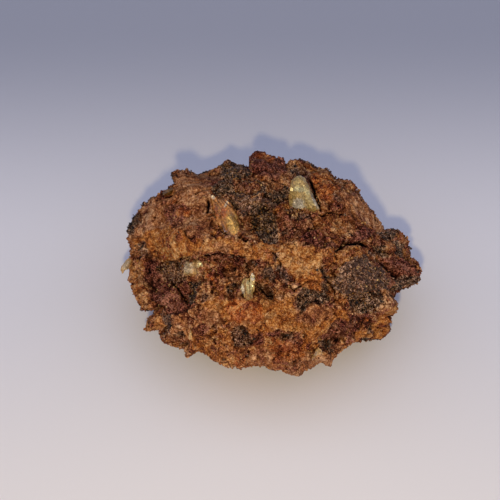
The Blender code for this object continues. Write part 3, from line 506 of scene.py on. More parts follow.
# Waves in the skin: wavelength, start of the pattern and rise.
SWELLS = [(4.2, 3.3, 0.36), (2.1, 9.1, 0.22), (0.9, 4.7, 0.12)]

# Rise of chips, crumbs and grains, and what druse adds to that of its grains.
CHIP_RISE = 0.80
CRUMB_RISE = 1.1
GRAIN_RISE = 0.70
DRUSE_RISE = 0.8

# How much of each kind of relief calm stretches take off.
CALMED = {
    "swells": 0.4, "chips": 0.6, "crumbs": 0.65, "grains": 0.5, "creases": 0.5, "holes": 0.75, "plates": 0.5,
}

# Creases run where a wandering field passes through 0: its wavelength, start and layers, how far it wanders,
# their width in the field, where they are found and their depth.
CREASES = (2.6, 67.0, 2)
CREASE_WANDER = 0.5
CREASE_WIDTH = 0.07
CREASED = Pattern(5.3, 23.0, 1, -0.1, 0.3)
CREASE_DEPTH = 0.26

# Pits and holes, their depth, and how black pits are.
PITS = Pattern(2.7, 51.0, 3, 0.42, 0.60)
PIT_DEPTH = 0.6
PIT_BLACKNESS = 0.6
HOLES = Pattern(1.5, 87.0, 3, 0.30, 0.50)
HOLE_DEPTH = 0.5

# Plates that the skin steps up in, at levels of a field: its wavelength, start and layers, the levels, how
# soon the step is up and its rise.
PLATES = (3.9, 47.0, 3)
PLATE_LEVELS = (-0.42, -0.12, 0.16, 0.44)
PLATE_EDGE = 0.07
PLATE_STEP = 0.20

# How far and in what waves a crack wanders, how much wider and deeper than named it is cut, and how deep and
# over what width the rock is cut away round a crystal.
CRACK_WANDER = 0.25
CRACK_WAVE = 1.3
CRACK_WIDENING = 1.25
CRACK_DEEPENING = 1.2
NICHE_DEPTH = 1.1
NICHE_EDGE = 0.35

# Painted shade and highlight: depths between which a crevice and a hollow get more and more painted shade,
# how dark a hole and, by how calm it is, a crevice are painted as shade, and the heights between which a
# crest gets a paler and paler painted highlight.
CREVICE_DEPTHS = (0.03, 0.16)
HOLLOW_DEPTHS = (0.0, 0.40)
HOLE_SHADE = 0.75
CREVICE_SHADE = 0.65
CALMED_CREVICE = 0.45
CREST_HEIGHTS = (0.02, 0.34)

# How far fibres keep their shape along themselves and into the rock.
FIBRE_LENGTH = 2.6
FIBRE_DEPTH = 4.0

HASH_SIZE = 256
HASH_SEED = 41

# The crystals: solid, piece, slot, size of the mesh cells, how far the solid is swollen so that its blades
# grow together, passes of rounding, where their striations spread from, waves to the radian and height of the
# striations, height of the flakes on their faces, how far they are raised, and their outline as (right, up)
# places. The sliver has none and keeps its solid's own.
Crystal = namedtuple(
    "Crystal", "node piece slot cell swollen rounding apex waves ridge flakes raised outline"
)
FILLED_CRYSTALS = ("adamite_sheaf",)
CRYSTALS = [
    Crystal(
        "adamite_wedge_crystal", "adamite_wedge", OLIVE_SLOT,
        0.09, 0.05, 30, (3.1, 20.1), 14.0, 0.03, 0.12, 0.1,
        [
            (2.6, 10.2), (2.4, 11.7), (2.7, 13.4), (3.0, 14.6), (3.9, 15.3), (4.6, 15.4), (5.4, 14.9),
            (5.9, 13.9), (6.5, 12.2), (7.2, 10.9), (7.9, 9.5), (6.5, 9.1), (5.1, 9.8), (4.1, 9.5),
        ],
    ),
    Crystal(
        "adamite_sheaf", "adamite_sheaf_blades", OCHRE_SLOT,
        0.08, 0.30, 14, (-10.6, 13.0), 10.0, 0.15, 0.24, 0.3,
        [
            (-10.8, 11.6), (-10.3, 12.0), (-9.7, 11.6), (-8.8, 11.4), (-8.0, 11.4), (-7.4, 10.9),
            (-6.9, 9.7), (-6.3, 8.5), (-5.9, 7.3), (-6.0, 6.1), (-6.3, 4.9), (-7.0, 4.6), (-7.7, 5.2),
            (-8.5, 5.9), (-9.2, 6.8), (-9.7, 7.8), (-10.0, 9.0), (-10.5, 10.4),
        ],
    ),
    Crystal(
        "adamite_left_crystal", "adamite_left_block", TAN_SLOT,
        0.06, 0.30, 4, (-12.6, 9.0), 60.0, 0.05, 0.34, 1.3,
        [
            (-14.9, 0.7), (-14.1, 0.5), (-13.4, 0.8), (-12.7, 1.0), (-12.1, 0.7), (-12.1, 0.0),
            (-12.7, -0.4), (-12.5, -0.8), (-12.7, -1.5), (-13.1, -1.9), (-13.9, -1.8), (-14.7, -1.6),
            (-15.4, -1.4), (-15.2, -0.3),
        ],
    ),
    Crystal(
        "adamite_centre_crystal", "adamite_centre_prism", OLIVE_SLOT,
        0.06, 0.20, 8, (-4.6, 14.0), 70.0, 0.10, 0.09, 0.5,
        [
            (-5.5, -2.7), (-5.1, -2.0), (-4.4, -2.1), (-3.9, -1.9), (-3.8, -1.3), (-3.4, -1.5),
            (-3.3, -2.3), (-3.5, -3.2), (-3.3, -3.8), (-3.5, -4.6), (-3.6, -5.6), (-4.5, -5.8),
            (-5.1, -5.3), (-5.5, -4.6), (-5.9, -4.1), (-5.7, -3.4),
        ],
    ),
    Crystal(
        "adamite_edge_crystal", "adamite_edge_blade", TAN_SLOT,
        0.06, 0.10, 8, (-22.0, 5.0), 30.0, 0.05, 0.05, 0.0,
        [
            (-24.5, 1.2), (-25.1, 0.7), (-25.8, -0.2), (-25.9, -0.9), (-25.6, -1.6), (-25.2, -1.0),
            (-24.7, -0.8), (-24.2, -0.2), (-23.9, 0.8),
        ],
    ),
    Crystal(
        "adamite_lower_crystal", "adamite_lower_pair", TAN_SLOT,
        0.06, 0.15, 8, (9.0, -9.0), 26.0, 0.05, 0.06, 0.4,
        [
            (7.5, -13.9), (8.1, -14.3), (8.3, -15.0), (7.7, -15.2), (7.1, -15.4), (6.6, -15.8),
            (6.4, -16.3), (6.3, -15.6), (6.8, -14.8), (7.1, -14.2),
        ],
    ),
    Crystal(
        "adamite_rim_crystal", "adamite_rim_prism", OLIVE_SLOT,
        0.05, 0.05, 8, (-13.0, 14.6), 40.0, 0.04, 0.05, -0.1,
        [
            (-18.9, 12.4), (-18.2, 12.9), (-17.2, 13.2), (-17.0, 12.8), (-17.3, 12.1), (-18.2, 11.8),
            (-18.8, 11.9),
        ],
    ),
    Crystal(
        "adamite_sliver", "adamite_upright_sliver", TAN_SLOT,
        0.04, 0.0, 4, (-14.0, -4.0), 50.0, 0.03, 0.03, 0.2,
        [],
    ),
]
OUTLINE_ANGLES = 96
OUTLINE_FIT = Fit(0.5, 1.7, 1.03, 0.0)

# How far striations keep their shape along the crystal and into it, how much finer and how high the ones on
# them are, and the height at which their painted shade and highlight show in full as streaks.
STRIATION_LENGTH = 5.0
STRIATION_DEPTH = 1.6
FINER_STRIATION = (2.3, 1.6, 1.5)
FINER_RIDGE = 0.5
STRONG_RIDGE = 0.10

# How the flakes' edges wander, as for bits, how far, and how the flakes are drawn out; and the rise and waves
# of the crystals' soft swell.
FLAKE_WAVES = (1.1, 3.0, 5.0, 1)
FLAKE_WANDER = 0.2
FLAKE_STRETCH = (1.0, 0.8, 0.8)
SWELL_RISE = 0.12
SWELL_WAVE = 2.2

# Passes of rounding after a crystal is fitted, the share of the way to its neighbours that a point goes in
# each, and the passes and depths by which its dips are found and given painted shade.
FITTED_PASSES = 3
ROUNDING_SHARE = 0.5
DIP_PASSES = 6
DIP_DEPTHS = (0.0, 0.06)

# How ragged the tints' edges are, in what waves, and the levels between which a tint sets in.
TINT_RAGGEDNESS = 0.3
TINT_WAVE = 0.7
TINT_LEVELS = (0.2, 0.7)

# Stretches of the crystals that are paler and cloudier, stained by the rock, or brighter; the brighter ones
# are partly the crystals' own tone and partly painted highlight, such as the sparkling band.
PALE_CRYSTAL = [
    Patch(4.1, 10.4, 1.1, 1.1, 0.0, 1.0),        # fracture at the wedge crystal's foot
    Patch(7.0, 10.9, 2.1, 0.40, -66.0, 0.8),     # its bevel along the right edge
    Patch(-8.1, 10.6, 0.9, 0.20, 62.0, 1.0),     # streak in the sheaf
    Patch(-10.5, 11.8, 0.6, 0.35, -40.0, 1.0),   # tip of its left strand
    Patch(-14.6, -0.3, 0.9, 1.1, 0.0, 0.9),
    Patch(-5.4, -4.1, 0.4, 1.2, 0.0, 0.7),
    Patch(-3.7, -1.9, 0.4, 0.7, 0.0, 1.0),       # tip of the centre crystal
    Patch(7.0, -14.9, 0.5, 0.3, 45.0, 1.0),
    Patch(-25.0, -0.2, 0.7, 1.4, 0.0, 0.9),
]
WARM_CRYSTAL = [
    Patch(2.7, 11.6, 0.5, 1.4, 0.0, 0.5),
    Patch(6.4, 9.8, 0.7, 0.6, 0.0, 0.4),
    Patch(-8.7, 9.1, 0.6, 1.0, 0.0, 0.9),
    Patch(-9.9, 9.3, 0.6, 1.6, 10.0, 0.6),
    Patch(-13.4, -1.8, 1.1, 0.35, 0.0, 0.8),
    Patch(-4.4, -5.2, 0.9, 0.5, 0.0, 0.6),
    Patch(-4.7, -3.4, 0.9, 1.8, 0.0, 0.55),
    Patch(-18.0, 12.5, 1.2, 0.8, 0.0, 1.0),
]
BRIGHT_AND_HIGHLIT_CRYSTAL = [
    # Painted highlight: the sparkling band across the wedge crystal.
    Patch(4.2, 13.0, 1.6, 0.45, -8.0, 0.7),      # sparkling band across the wedge crystal
    Patch(5.6, 12.2, 0.6, 1.6, 14.0, 0.5),
    Patch(-7.0, 7.2, 1.2, 1.9, 14.0, 0.9),       # bulb of the sheaf
    Patch(-12.5, 0.2, 0.7, 0.6, 0.0, 0.9),
    Patch(-4.3, -3.5, 0.6, 1.2, 0.0, 0.9),
    Patch(-25.0, -0.6, 0.5, 1.6, 0.0, 0.6),
]

# The lamps: their azimuth from the front and elevation in degrees, distance and size in metres, power in
# watts and colour. A small warm one stands just below the camera, and a faint cool one hangs behind.
Lamp = namedtuple("Lamp", "name azimuth elevation distance size power colour")
KEY = Lamp("key_light", -3.0, 44.4, 0.27, 0.012, 0.30, (1.0, 0.84, 0.42))
LAMPS = (KEY, Lamp("window_light", 172.0, 70.0, 2.0, 1.2, 0.8, (0.70, 0.85, 1.0)))
SKY_COLOUR = (0.70, 0.78, 1.0, 1.0)
SKY_STRENGTH = 0.72

# Small flats that throw the small lamp's light to the eye: place and reach.
Flash = namedtuple("Flash", "right up reach")
FLASHES = [
    Flash(2.96, 13.0, 0.36),
    Flash(4.2, 13.4, 0.14),
    Flash(5.1, 12.4, 0.14),
    Flash(5.6, 11.4, 0.16),
    Flash(6.1, 10.5, 0.16),
    Flash(6.5, 9.8, 0.14),
    Flash(3.5, 10.7, 0.14),
    Flash(4.2, 10.1, 0.14),
    Flash(4.9, 10.8, 0.12),
    Flash(-10.4, 11.8, 0.22),
    Flash(-8.0, 10.2, 0.14),
    Flash(-7.6, 7.8, 0.14),
    Flash(-7.0, 6.6, 0.14),
    Flash(-7.4, 5.9, 0.12),
    Flash(-9.2, 7.2, 0.14),
    Flash(-12.6, 0.3, 0.24),
    Flash(-12.9, -1.2, 0.24),
    Flash(-14.0, 0.1, 0.14),
    Flash(-3.6, -1.8, 0.30),
    Flash(-3.4, -2.7, 0.28),
    Flash(-3.7, -3.4, 0.20),
    Flash(-5.7, -3.9, 0.16),
]

# Where pale sparkling crystals sit on the skin.
SPARKLE_PATCHES = [
    Patch(-17.8, 2.2, 2.6, 1.2, -5.0, 0.9),      # glittering foot of the ridge
    Patch(4.3, 9.4, 1.8, 0.9, 0.0, 1.0),         # under the wedge crystal
    Patch(-6.3, 16.9, 2.4, 0.8, 0.0, 1.0),       # top edge
    Patch(-11.6, -0.6, 1.4, 1.6, 0.0, 0.8),
    Patch(14.5, -2.7, 4.2, 3.6, 0.0, 0.35),
    Patch(-2.0, 7.0, 2.0, 3.0, 0.0, 0.25),
    Patch(-18.0, -3.2, 3.2, 3.4, 0.0, 0.15),
    Patch(-3.9, 13.2, 4.4, 1.6, 0.0, 0.3),
    Patch(-7.1, 15.3, 1.7, 1.8, 0.0, 0.3),
    Patch(0.0, 0.0, 24.0, 16.0, 0.0, 0.05),
]

# Height above the floor up to which no grains sit on the skin, how uneven their corners are and at most, how
# far they are stretched, and how high their middles stand off the skin, as shares of their size.
GRAINLESS_FOOT = 0.6
GRAIN_UNEVENNESS = 0.22
GRAIN_CORNERS = (0.5, 1.5)
GRAIN_STRETCH = (0.7, 1.3)
GRAIN_STANDING = (-0.1, 0.35)

# Shapes of grains: their corners, and their faces as numbers of corners.
OCTAHEDRON = (
    [(1, 0, 0), (-1, 0, 0), (0, 1, 0), (0, -1, 0), (0, 0, 1), (0, 0, -1)],
    [(0, 2, 4), (2, 1, 4), (1, 3, 4), (3, 0, 4), (2, 0, 5), (1, 2, 5), (3, 1, 5), (0, 3, 5)],
)
BLOCK = (
    [(x, y, z) for x in (-1, 1) for y in (-1, 1) for z in (-1, 1)],
    [
        (0, 1, 3), (0, 3, 2), (4, 6, 7), (4, 7, 5), (0, 4, 5), (0, 5, 1),
        (2, 3, 7), (2, 7, 6), (0, 2, 6), (0, 6, 4), (1, 5, 7), (1, 7, 3),
    ],
)

# Grains of one kind: their piece, slot, number, shape, least and greatest size, and seed.
Grains = namedtuple("Grains", "name slot count shape small large seed")
CRUMB_GRAINS = Grains("limonite_crumbs", ROCK_SLOT, 4600, BLOCK, 0.10, 0.34, 21)
BLACK_GRAINS = Grains("black_druse", ROCK_SLOT, 3400, BLOCK, 0.12, 0.28, 22)
GREY_GRAINS = Grains("grey_druse", ROCK_SLOT, 2600, BLOCK, 0.14, 0.36, 23)
PALE_GRAINS = Grains("pale_druse", ROCK_SLOT, 2200, OCTAHEDRON, 0.10, 0.22, 24)


def linear(red, green, blue):
    """Linear colour of one given as 0 to 255 on a screen."""
    shares = [value / 255.0 for value in (red, green, blue)]
    return tuple(s / 12.92 if s <= 0.04045 else ((s + 0.055) / 1.055) ** 2.4 for s in shares)


# Patterns in numbers

_draws = np.random.default_rng(HASH_SEED)
HASH = _draws.permutation(HASH_SIZE)
_spread = _draws.normal(size=(HASH_SIZE, 3))
SLOPES = _spread / np.linalg.norm(_spread, axis=1)[:, None]
SEEDS = _draws.random((HASH_SIZE, 3))
MARKS = _draws.random((HASH_SIZE, 2))


def hashed(cells):
    """A number from 0 to 255 for each cell of a lattice."""
    cells = cells & (HASH_SIZE - 1)
    first = HASH[cells[:, 0]]
    second = HASH[(first + cells[:, 1]) & (HASH_SIZE - 1)]
    return HASH[(second + cells[:, 2]) & (HASH_SIZE - 1)]


def noise(points, wavelength, start=0.0):
    """Smooth noise between about -1 and 1."""
    place = points / wavelength + start
    base = np.floor(place).astype(int)
    inside = place - base
    fade = inside**3 * (inside * (inside * 6.0 - 15.0) + 10.0)
    total = np.zeros(len(points))
    for corner in product((0, 1), repeat=3):
        slope = SLOPES[hashed(base + corner)]
        weight = np.prod(np.where(corner, fade, 1.0 - fade), axis=1)
        total += weight * np.einsum("ij,ij->i", slope, inside - corner)
    return total * 1.5


def layered(points, wavelength, start, layers):
    """Noise with finer and fainter noise on it."""
    total = np.zeros(len(points))
    for layer in range(layers):
        total += noise(points, wavelength / 2.0**layer, start + 7.3 * layer) / 2.0**layer
    return total


def scattered(points, size, start=0.0):
    """For scattered seeds: distances to the nearest two, the way from the nearest, and its number."""
    place = points / size + start
    base = np.floor(place).astype(int)
    count = len(points)
    nearest = np.full(count, 9.0)
    second = np.full(count, 9.0)
    away = np.zeros((count, 3))
    owner = np.zeros(count, int)
    for shift in product((-1, 0, 1), repeat=3):
        cell = base + shift
        pick = hashed(cell)
        gap = place - (cell + SEEDS[pick])
        length = np.sqrt(np.einsum("ij,ij->i", gap, gap))
        closer = length < nearest
        second = np.where(closer, nearest, np.minimum(second, length))
        nearest = np.where(closer, length, nearest)
        away[closer] = gap[closer]
        owner[closer] = pick[closer]
    return nearest, second, away, owner


def broken(points, bits):
    """The relief of a surface broken into bits, the distance to their joints, and each bit's mark."""
    nearest, second, away, owner = scattered(points, bits.size, bits.start)
    rise = bits.dome * (bits.edge - nearest) + bits.step * (MARKS[owner, 0] - 0.5)
    rise += bits.tilt * np.einsum("ij,ij->i", away, SLOPES[owner])
    return rise, second - nearest, MARKS[owner, 1]


def groove(distance, width):
    """1 in the middle of a groove, and a smooth fall to 0 on both its sides."""
    return np.exp(-((distance / width) ** 2))


def warp(points, wavelength, start, step, layers):
    """A wandering of each point, in three directions."""
    return np.column_stack([layered(points, wavelength, start + step * k, layers) for k in range(3)])


def smooth_step(low, high, values):
    """0 below low, 1 above high, and a smooth rise between them."""
    share = np.clip((values - low) / (high - low), 0.0, 1.0)
    return share * share * (3.0 - 2.0 * share)


def found(points, pattern):
    """1 where a pattern is found, 0 where it isn't."""
    waves = layered(points, pattern.wavelength, pattern.start, pattern.layers)
    return smooth_step(pattern.low, pattern.high, waves)


# Places on the broad face

def seen_at(points):
    """Places (right, up) where the eye sees points, and their depth towards it."""
    offset = points - MIDDLE
    depth = offset @ OUT
    scale = EYE_DISTANCE / (EYE_DISTANCE - depth)
    return (offset @ RIGHT) * scale, (offset @ UP) * scale, depth


def patch_strength(patches, right, up):
    """How strongly any of the patches covers each place."""
    clear = np.ones(len(right))
    for patch in patches:
        slope = math.radians(patch.slope)
        off_right = right - patch.right
        off_up = up - patch.up
        along = (off_right * math.cos(slope) + off_up * math.sin(slope)) / patch.along
        across = (off_up * math.cos(slope) - off_right * math.sin(slope)) / patch.across
        covered = patch.strength * np.exp(-(along * along + across * across) ** 1.4)
        clear *= 1.0 - np.minimum(covered, 1.0)
    return 1.0 - clear


def line_distance(corners, right, up):
    """Distance of each place from a line of corners."""
    best = np.full(len(right), np.inf)
    for (right_a, up_a), (right_b, up_b) in zip(corners, corners[1:]):
        step = np.array((right_b - right_a, up_b - up_a))
        off_right = right - right_a
        off_up = up - up_a
        share = np.clip((off_right * step[0] + off_up * step[1]) / (step @ step), 0.0, 1.0)
        best = np.minimum(best, np.hypot(off_right - share * step[0], off_up - share * step[1]))
    return best


def outline_depth(corners, right, up):
    """How far inside a closed outline each place lies, negative outside it."""
    ring = [*corners, corners[0]]
    distance = line_distance(ring, right, up)
    inside = np.zeros(len(right), bool)
    for (right_a, up_a), (right_b, up_b) in zip(ring, ring[1:]):
        if up_a != up_b:
            crossing = (up_a > up) != (up_b > up)
            inside ^= crossing & (right < right_a + (up - up_a) * (right_b - right_a) / (up_b - up_a))
    return np.where(inside, distance, -distance)


def outline_reach(corners, angles):
    """The middle of an outline, and the distance from it to the edge at each angle."""
    middle = corners.mean(axis=0)
    start = corners - middle
    step = np.roll(start, -1, axis=0) - start
    ways = np.stack((np.cos(angles), np.sin(angles)), axis=1)
    reach = np.zeros(len(angles))
    for (right, up), (right_step, up_step) in zip(start, step):
        cross = ways[:, 0] * up_step - ways[:, 1] * right_step
        cross = np.where(np.abs(cross) < 1e-9, 1e-9, cross)
        distance = (right * up_step - up * right_step) / cross
        share = (right * ways[:, 1] - up * ways[:, 0]) / cross
        met = (share >= 0.0) & (share <= 1.0) & (distance > 0.0)
        reach = np.maximum(reach, np.where(met, distance, 0.0))
    return middle, reach


def fit_outline(points, outline, counted, sectors, fit):
    """Draws points in or out, across the line of sight, until the counted ones fill the named outline."""
    numbers = np.arange(sectors)
    middle, wanted = outline_reach(np.array(outline), (numbers + 0.5) / sectors * 2.0 * math.pi - math.pi)
    right, up, depth = seen_at(points)
    off_right = right - middle[0]
    off_up = up - middle[1]
    far = np.hypot(off_right, off_up)
    place = (np.arctan2(off_up, off_right) + math.pi) / (2.0 * math.pi) * sectors - 0.5
    present = np.zeros(sectors)
    np.maximum.at(present, np.round(place[counted]).astype(int) % sectors, far[counted])
    filled = np.flatnonzero(present > 0.2)
    present = np.interp(numbers, filled, present[filled], period=sectors)
    for _ in range(2):
        present = (np.roll(present, 1) + 2.0 * present + np.roll(present, -1)) / 4.0
    factor = np.interp(place, numbers, np.clip(wanted / present, fit.least, fit.most), period=sectors)
    furthest = fit.spill * np.interp(place, numbers, wanted, period=sectors)
    factor = np.minimum(factor, furthest / np.maximum(far, 1e-6))
    outward = far / np.interp(place, numbers, present, period=sectors)
    moved = smooth_step(fit.rim - 0.2, fit.rim, outward)
    change = (factor - 1.0) * moved * (EYE_DISTANCE - depth) / EYE_DISTANCE
    return points + np.outer(off_right * change, RIGHT) + np.outer(off_up * change, UP)


# Meshes

def mesh_surface(mesh):
    """A mesh's points, and the corners of its triangles."""
    points = np.empty(len(mesh.vertices) * 3)
    mesh.vertices.foreach_get("co", points)
    mesh.calc_loop_triangles()
    corners = np.empty(len(mesh.loop_triangles) * 3, dtype=np.int32)
    mesh.loop_triangles.foreach_get("vertices", corners)
    return points.reshape(-1, 3), corners.reshape(-1, 3)


def node_surface(name):
    """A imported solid's points in millimetres, and the corners of its triangles."""
    points, corners = mesh_surface(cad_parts[name].data)
    return points / MM, corners


def surface_tree(*names):
    """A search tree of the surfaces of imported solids."""
    points = []
    corners = []
    for name in names:
        more_points, more_corners = node_surface(name)
        corners += (more_corners + len(points)).tolist()
        points += more_points.tolist()
    return BVHTree.FromPolygons(points, corners)


def in_scene(name, data):
    """An object in the scene, of a mesh, a light or a camera."""
    made = bpy.data.objects.new(name, data)
    bpy.context.scene.collection.objects.link(made)
    return made


def mesh_piece(name, points, faces, material, smooth=True):
    """An object of one mesh, from points in millimetres and faces of one number of corners."""
    mesh = bpy.data.meshes.new(name)
    count, sides = faces.shape
    mesh.vertices.add(len(points))
    mesh.vertices.foreach_set("co", (points * MM).ravel())
    mesh.loops.add(count * sides)
    mesh.loops.foreach_set("vertex_index", faces.ravel().astype(np.int32))
    mesh.polygons.add(count)
    mesh.polygons.foreach_set("loop_start", np.arange(count, dtype=np.int32) * sides)
    mesh.polygons.foreach_set("use_smooth", np.full(count, smooth))
    mesh.update(calc_edges=True)
    mesh.materials.append(material)
    return in_scene(name, mesh)


def add_tones(piece, name, *values):
    """Two or three values for each point, kept as a colour attribute."""
    layer = piece.data.attributes.new(name, "FLOAT_COLOR", "POINT")
    colours = np.ones((len(piece.data.vertices), 4), np.float32)
    colours[:, :len(values)] = np.column_stack(values)
    layer.data.foreach_set("color", colours.ravel())


def add_atlas(piece, places):
    """The piece's own flat layout, one place for each corner of each face."""
    layer = piece.data.uv_layers.new(name="OFBake")
    layer.data.foreach_set("uv", places.astype(np.float32).ravel())


def scaled_passes(passes):
    """The passes that reach as far on this skin as the given ones do on a skin of the named fineness."""
    return round(passes * (SKIN_CELLS / PASSES_GIVEN_FOR) ** 2)


class Grid:
    """The faces of a closed surface, and which points are neighbours."""

    def __init__(self, faces, count):
        self.faces = faces
        self.count = count
        self.sides = faces.shape[1]
        pairs = np.concatenate([faces[:, [k, (k + 1) % self.sides]] for k in range(self.sides)])
        self.pairs = np.unique(np.sort(pairs, axis=1), axis=0)
        self.degree = np.bincount(self.pairs.ravel(), minlength=count)

    def mean_around(self, values):
        """Mean of the neighbours' values."""
        columns = values.reshape(self.count, -1)
        total = np.empty_like(columns)
        one, other = self.pairs.T
        for k in range(columns.shape[1]):
            column = columns[:, k]
            total[:, k] = np.bincount(one, column[other], self.count)
            total[:, k] += np.bincount(other, column[one], self.count)
        return (total / self.degree[:, None]).reshape(values.shape)

    def smoothed(self, values, passes, share=0.6):
        """Values drawn towards their neighbours' mean."""
        for _ in range(passes):
            values = values + (self.mean_around(values) - values) * share
        return values

    def relaxed(self, points, loose, passes):
        """Points with the loose ones drawn to their neighbours until they lie evenly among them."""
        one, other = np.concatenate((self.pairs, self.pairs[:, ::-1])).T
        wanted = loose[one]
        owner = (np.cumsum(loose) - 1)[one[wanted]]
        other = other[wanted]
        count = int(loose.sum())
        degree = np.bincount(owner, minlength=count)[:, None]
        points = points.copy()
        for _ in range(passes):
            total = [np.bincount(owner, points[other, axis], count) for axis in range(3)]
            points[loose] = np.stack(total, axis=1) / degree
        return points

    def normals(self, points):
        """Outward unit normals at the points."""
        return self.normals_and_areas(points)[0]

    def normals_and_areas(self, points):
        """Outward unit normals at the points, and the area that each point of a skin of quads has."""
        corners = points[self.faces]
        if self.sides == 4:
            face = np.cross(corners[:, 2] - corners[:, 0], corners[:, 3] - corners[:, 1])
        else:
            face = np.cross(corners[:, 1] - corners[:, 0], corners[:, 2] - corners[:, 0])
        total = np.zeros_like(points)
        for k in range(self.sides):
            for axis in range(3):
                total[:, axis] += np.bincount(self.faces[:, k], face[:, axis], self.count)
        length = np.linalg.norm(total, axis=1)
        return total / np.maximum(length, 1e-9)[:, None], length / 8.0


def cube_layout(cells):
    """A sphere laid out as six sides: directions, quads, and each quad corner's place in the atlas."""
    steps = np.arange(cells + 1)
    across_step, along_step = np.meshgrid(steps, steps, indexing="ij")
    places = []
    quads = []
    atlas = []
    for side, (axis, end) in enumerate(product(range(3), (0, cells))):
        place = np.empty((cells + 1, cells + 1, 3), int)
        place[..., axis] = end
        place[..., (axis + 1) % 3] = across_step
        place[..., (axis + 2) % 3] = along_step
        number = np.arange((cells + 1) ** 2).reshape(cells + 1, cells + 1) + side * (cells + 1) ** 2
        ring = [number[:-1, :-1], number[1:, :-1], number[1:, 1:], number[:-1, 1:]]
        if end == 0:
            ring.reverse()
        quads.append(np.stack(ring, axis=-1).reshape(-1, 4))
        share = np.stack((across_step, along_step), axis=-1) / cells
        tile = np.array((side % 2, 0))
        atlas.append(((share * (1.0 - 2.0 * ATLAS_MARGIN) + ATLAS_MARGIN + tile) / (2, 1)).reshape(-1, 2))
        places.append(place.reshape(-1, 3))
    quads = np.concatenate(quads)
    corner_places = np.concatenate(atlas)[quads]
    lattice, joined = np.unique(np.concatenate(places), axis=0, return_inverse=True)
    spread = np.tan((lattice / cells * 2.0 - 1.0) * math.pi / 4.0)
    ways = spread @ np.stack((RIGHT, UP, OUT))
    return ways / np.linalg.norm(ways, axis=1)[:, None], joined.reshape(-1)[quads], corner_places


# The rock's skin

CRYSTAL_NODES = [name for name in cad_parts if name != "limonite_matrix"]


def bare_lump(ways, grid):
    """The solid lump's surface in each direction, with its sockets closed and its facets worn round."""
    rock = surface_tree("limonite_matrix")
    crystals = surface_tree(*CRYSTAL_NODES)
    points = np.empty_like(ways)
    in_socket = np.zeros(len(ways), bool)
    for i, way in enumerate(ways):
        start = MIDDLE + way * CAST_FROM
        hit = rock.ray_cast(start.tolist(), (-way).tolist())[0]
        points[i] = hit
        in_socket[i] = crystals.find_nearest(hit, SOCKET_REACH)[0] is not None
    points = grid.relaxed(points, in_socket, scaled_passes(SOCKET_PASSES))
    return grid.smoothed(points, scaled_passes(FACET_PASSES))


